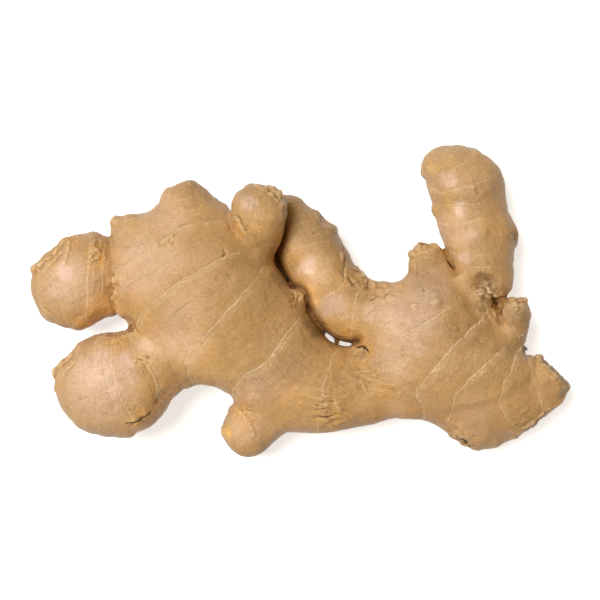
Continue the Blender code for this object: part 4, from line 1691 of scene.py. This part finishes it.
# ---------------------------------------------------------------------------------- operators


def store(mesh, values):
    """Keeps these values at the mesh's points, where the material reads them."""
    for name, amounts in values.items():
        attribute = mesh.attributes.new(name, "FLOAT", "POINT")
        attribute.data.foreach_set("value", np.array(amounts, np.float32))


class GINGER_OT_skin(bpy.types.Operator):
    """Grow the skin over the limbs of the frame"""

    bl_idname = "ginger.skin"
    bl_label = "Grow Skin"

    def execute(self, context):
        sizes = context.scene.ginger_sizes
        mesh = grown_mesh(sizes.rough_voxel, sizes.voxel)
        surface = Surface(mesh)
        shift = centred(surface)
        values = shape_skin(surface, Growth(shift), shift, sizes)
        mesh.vertices.foreach_set("co", (surface.points * MM).ravel())
        store(mesh, values)
        mesh.shade_smooth()
        mesh.update()
        mesh.materials.clear()
        mesh.materials.append(skin_material(context.scene.ginger_tones))
        mesh.name = SKIN_NAME
        skin = bpy.data.objects.new(SKIN_NAME, mesh)
        context.scene.collection.objects.link(skin)
        thin = skin.modifiers.new("fewer_faces_where_flat", "DECIMATE")
        thin.ratio = sizes.triangles / (2 * len(mesh.polygons))  # its faces are four-sided
        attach(skin, BODY)
        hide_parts(NODE_NAME)
        return {"FINISHED"}


class GINGER_OT_rags(bpy.types.Operator):
    """Tear papery rags out of the ring scars and rims of the skin"""

    bl_idname = "ginger.rags"
    bl_label = "Tear Rags"

    def execute(self, context):
        sizes = context.scene.ginger_sizes
        skin = bpy.data.objects[SKIN_NAME].data
        surface = Surface(skin)
        normals = surface.normals()
        gap, force = (
            np.array([item.value for item in skin.attributes[name].data])
            for name in ("ring_gap", "ring_force")
        )
        chance = np.random.default_rng(SEED + 40)
        roots = ring_rag_roots(surface, normals, gap, force, sizes.rag_count, chance)
        roots += line_rag_roots(surface, normals, chance)
        points, faces, tone, tip = [], [], [], []
        tips = np.repeat(np.linspace(0, 1, len(RAG_WIDTHS)), RAG_SIDES).tolist()
        for point, normal, direction, highest_tone in roots:
            length = sizes.rag_length / MM * chance.uniform(0.5, 1.4)
            width = chance.uniform(0.8, 2.3)
            lift = chance.uniform(-0.1, 0.6)
            faces += rag_faces(len(points))
            points += rag(point, normal, direction, length, width, lift, chance)
            tone += [chance.uniform(0, highest_tone)] * len(tips)
            tip += tips
        mesh = bpy.data.meshes.new(RAGS_NAME)
        mesh.from_pydata((np.array(points) * MM).tolist(), [], faces)
        store(mesh, {"tone": tone, "tip": tip})
        mesh.materials.append(rag_material(context.scene.ginger_tones))
        mesh.update()
        rags = bpy.data.objects.new(RAGS_NAME, mesh)
        context.scene.collection.objects.link(rags)
        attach(rags, BODY)
        return {"FINISHED"}


def floor_material(colour, glow):
    """Matt board that glows a little, so that shadows on it stay light."""
    board = Recipe(bpy.data.materials.new("studio_floor"))
    tone = board.noise(board.place_in_mm(), 0.02, 2.0)
    near = rgba(tuple(c * 0.985 for c in colour))
    return board.finish({
        "Base Color": board.mix(tone, near, rgba(colour)),
        "Roughness": 0.9,
        "Specular IOR Level": 0.1,
        "Emission Color": rgba((1, 1, 1)),
        "Emission Strength": glow,
    })


def sky_world(colour, strength):
    """Soft light from all round, in front of a backdrop that looks white."""
    world = Recipe(bpy.data.worlds.new("studio_sky"))
    sky = world.node("ShaderNodeBackground", {}, {"Color": rgba(colour), "Strength": strength})
    backdrop = world.node("ShaderNodeBackground", {}, {"Color": rgba((1, 1, 1))})
    seen_by_camera = world.node("ShaderNodeLightPath", {}, {})
    either = world.node("ShaderNodeMixShader", {}, {0: seen_by_camera, 1: sky, 2: backdrop})
    world.node("ShaderNodeOutputWorld", {}, {"Surface": either})
    return world.owner


def add_sun(name, direction, strength, angle):
    """A wide, soft light that comes from this direction."""
    light = bpy.data.lights.new(name, "SUN")
    light.energy = strength
    light.angle = angle
    lamp = bpy.data.objects.new(name, light)
    lamp.rotation_euler = Vector(direction).to_track_quat("Z", "Y").to_euler()
    bpy.context.scene.collection.objects.link(lamp)


def floor_board(stage):
    """A square board just under the rhizome."""
    half = stage.floor_span / 2
    mesh = bpy.data.meshes.new("studio_floor")
    corners = [(-half, -half, 0), (half, -half, 0), (half, half, 0), (-half, half, 0)]
    mesh.from_pydata(corners, [], [(0, 1, 2, 3)])
    mesh.materials.append(floor_material(stage.floor_colour, stage.floor_glow))
    floor = bpy.data.objects.new("studio_floor", mesh)
    floor.location.z = -FLOOR_GAP * MM
    floor.visible_diffuse = False  # so that it throws no light on the underside
    return floor


def overhead_camera(stage):
    """A camera over the middle of the frame's box that looks straight down."""
    lens = bpy.data.cameras.new("camera")
    lens.lens = stage.lens
    lens.sensor_width = SENSOR_WIDTH
    camera = bpy.data.objects.new("camera", lens)
    centre = (Vector(CAD_BOX[0]) + Vector(CAD_BOX[1])) / 2
    height = stage.camera_height + FOCUS_HEIGHT * MM
    camera.location = (centre.x, centre.y + stage.camera_nudge, height)
    return camera


class GINGER_OT_stage(bpy.types.Operator):
    """Make the pale floor, the soft studio lights and the camera"""

    bl_idname = "ginger.stage"
    bl_label = "Set Stage"

    def execute(self, context):
        stage = context.scene.ginger_stage
        floor = floor_board(stage)
        context.scene.collection.objects.link(floor)
        context.scene.world = sky_world(stage.sky_colour, stage.sky_strength)
        add_sun("key", KEY_DIRECTION, stage.key_strength, stage.key_softness)
        camera = overhead_camera(stage)
        context.scene.collection.objects.link(camera)
        context.scene.camera = camera
        context.scene.view_settings.view_transform = "Standard"
        return {"FINISHED"}


class GINGER_PT_panel(bpy.types.Panel):
    """Lists the steps and all settings"""

    bl_idname = "GINGER_PT_panel"
    bl_label = "Ginger Rhizome"
    bl_space_type = "VIEW_3D"
    bl_region_type = "UI"
    bl_category = "Ginger"

    def draw(self, context):
        for operator in OPERATORS:
            self.layout.operator(operator.bl_idname)
        for group in SETTINGS:
            settings = getattr(context.scene, group)
            for name in settings.bl_rna.properties.keys():
                if name not in ("rna_type", "name"):
                    self.layout.prop(settings, name)


OPERATORS = (GINGER_OT_skin, GINGER_OT_rags, GINGER_OT_stage)
SETTINGS = {
    "ginger_sizes": GingerSizes,
    "ginger_tones": GingerTones,
    "ginger_stage": GingerStage,
}


def register():
    """Makes the settings, steps and panel known to Blender."""
    for group in (*SETTINGS.values(), *OPERATORS, GINGER_PT_panel):
        bpy.utils.register_class(group)
    for name, group in SETTINGS.items():
        setattr(bpy.types.Scene, name, PointerProperty(type=group))


def unregister():
    """Takes them away again."""
    for name in SETTINGS:
        delattr(bpy.types.Scene, name)
    for group in reversed((*SETTINGS.values(), *OPERATORS, GINGER_PT_panel)):
        bpy.utils.unregister_class(group)


def main():
    """Builds the rhizome and its stage."""
    register()
    bpy.ops.ginger.skin()
    bpy.ops.ginger.rags()
    bpy.ops.ginger.stage()


if __name__ == "__main__":
    main()
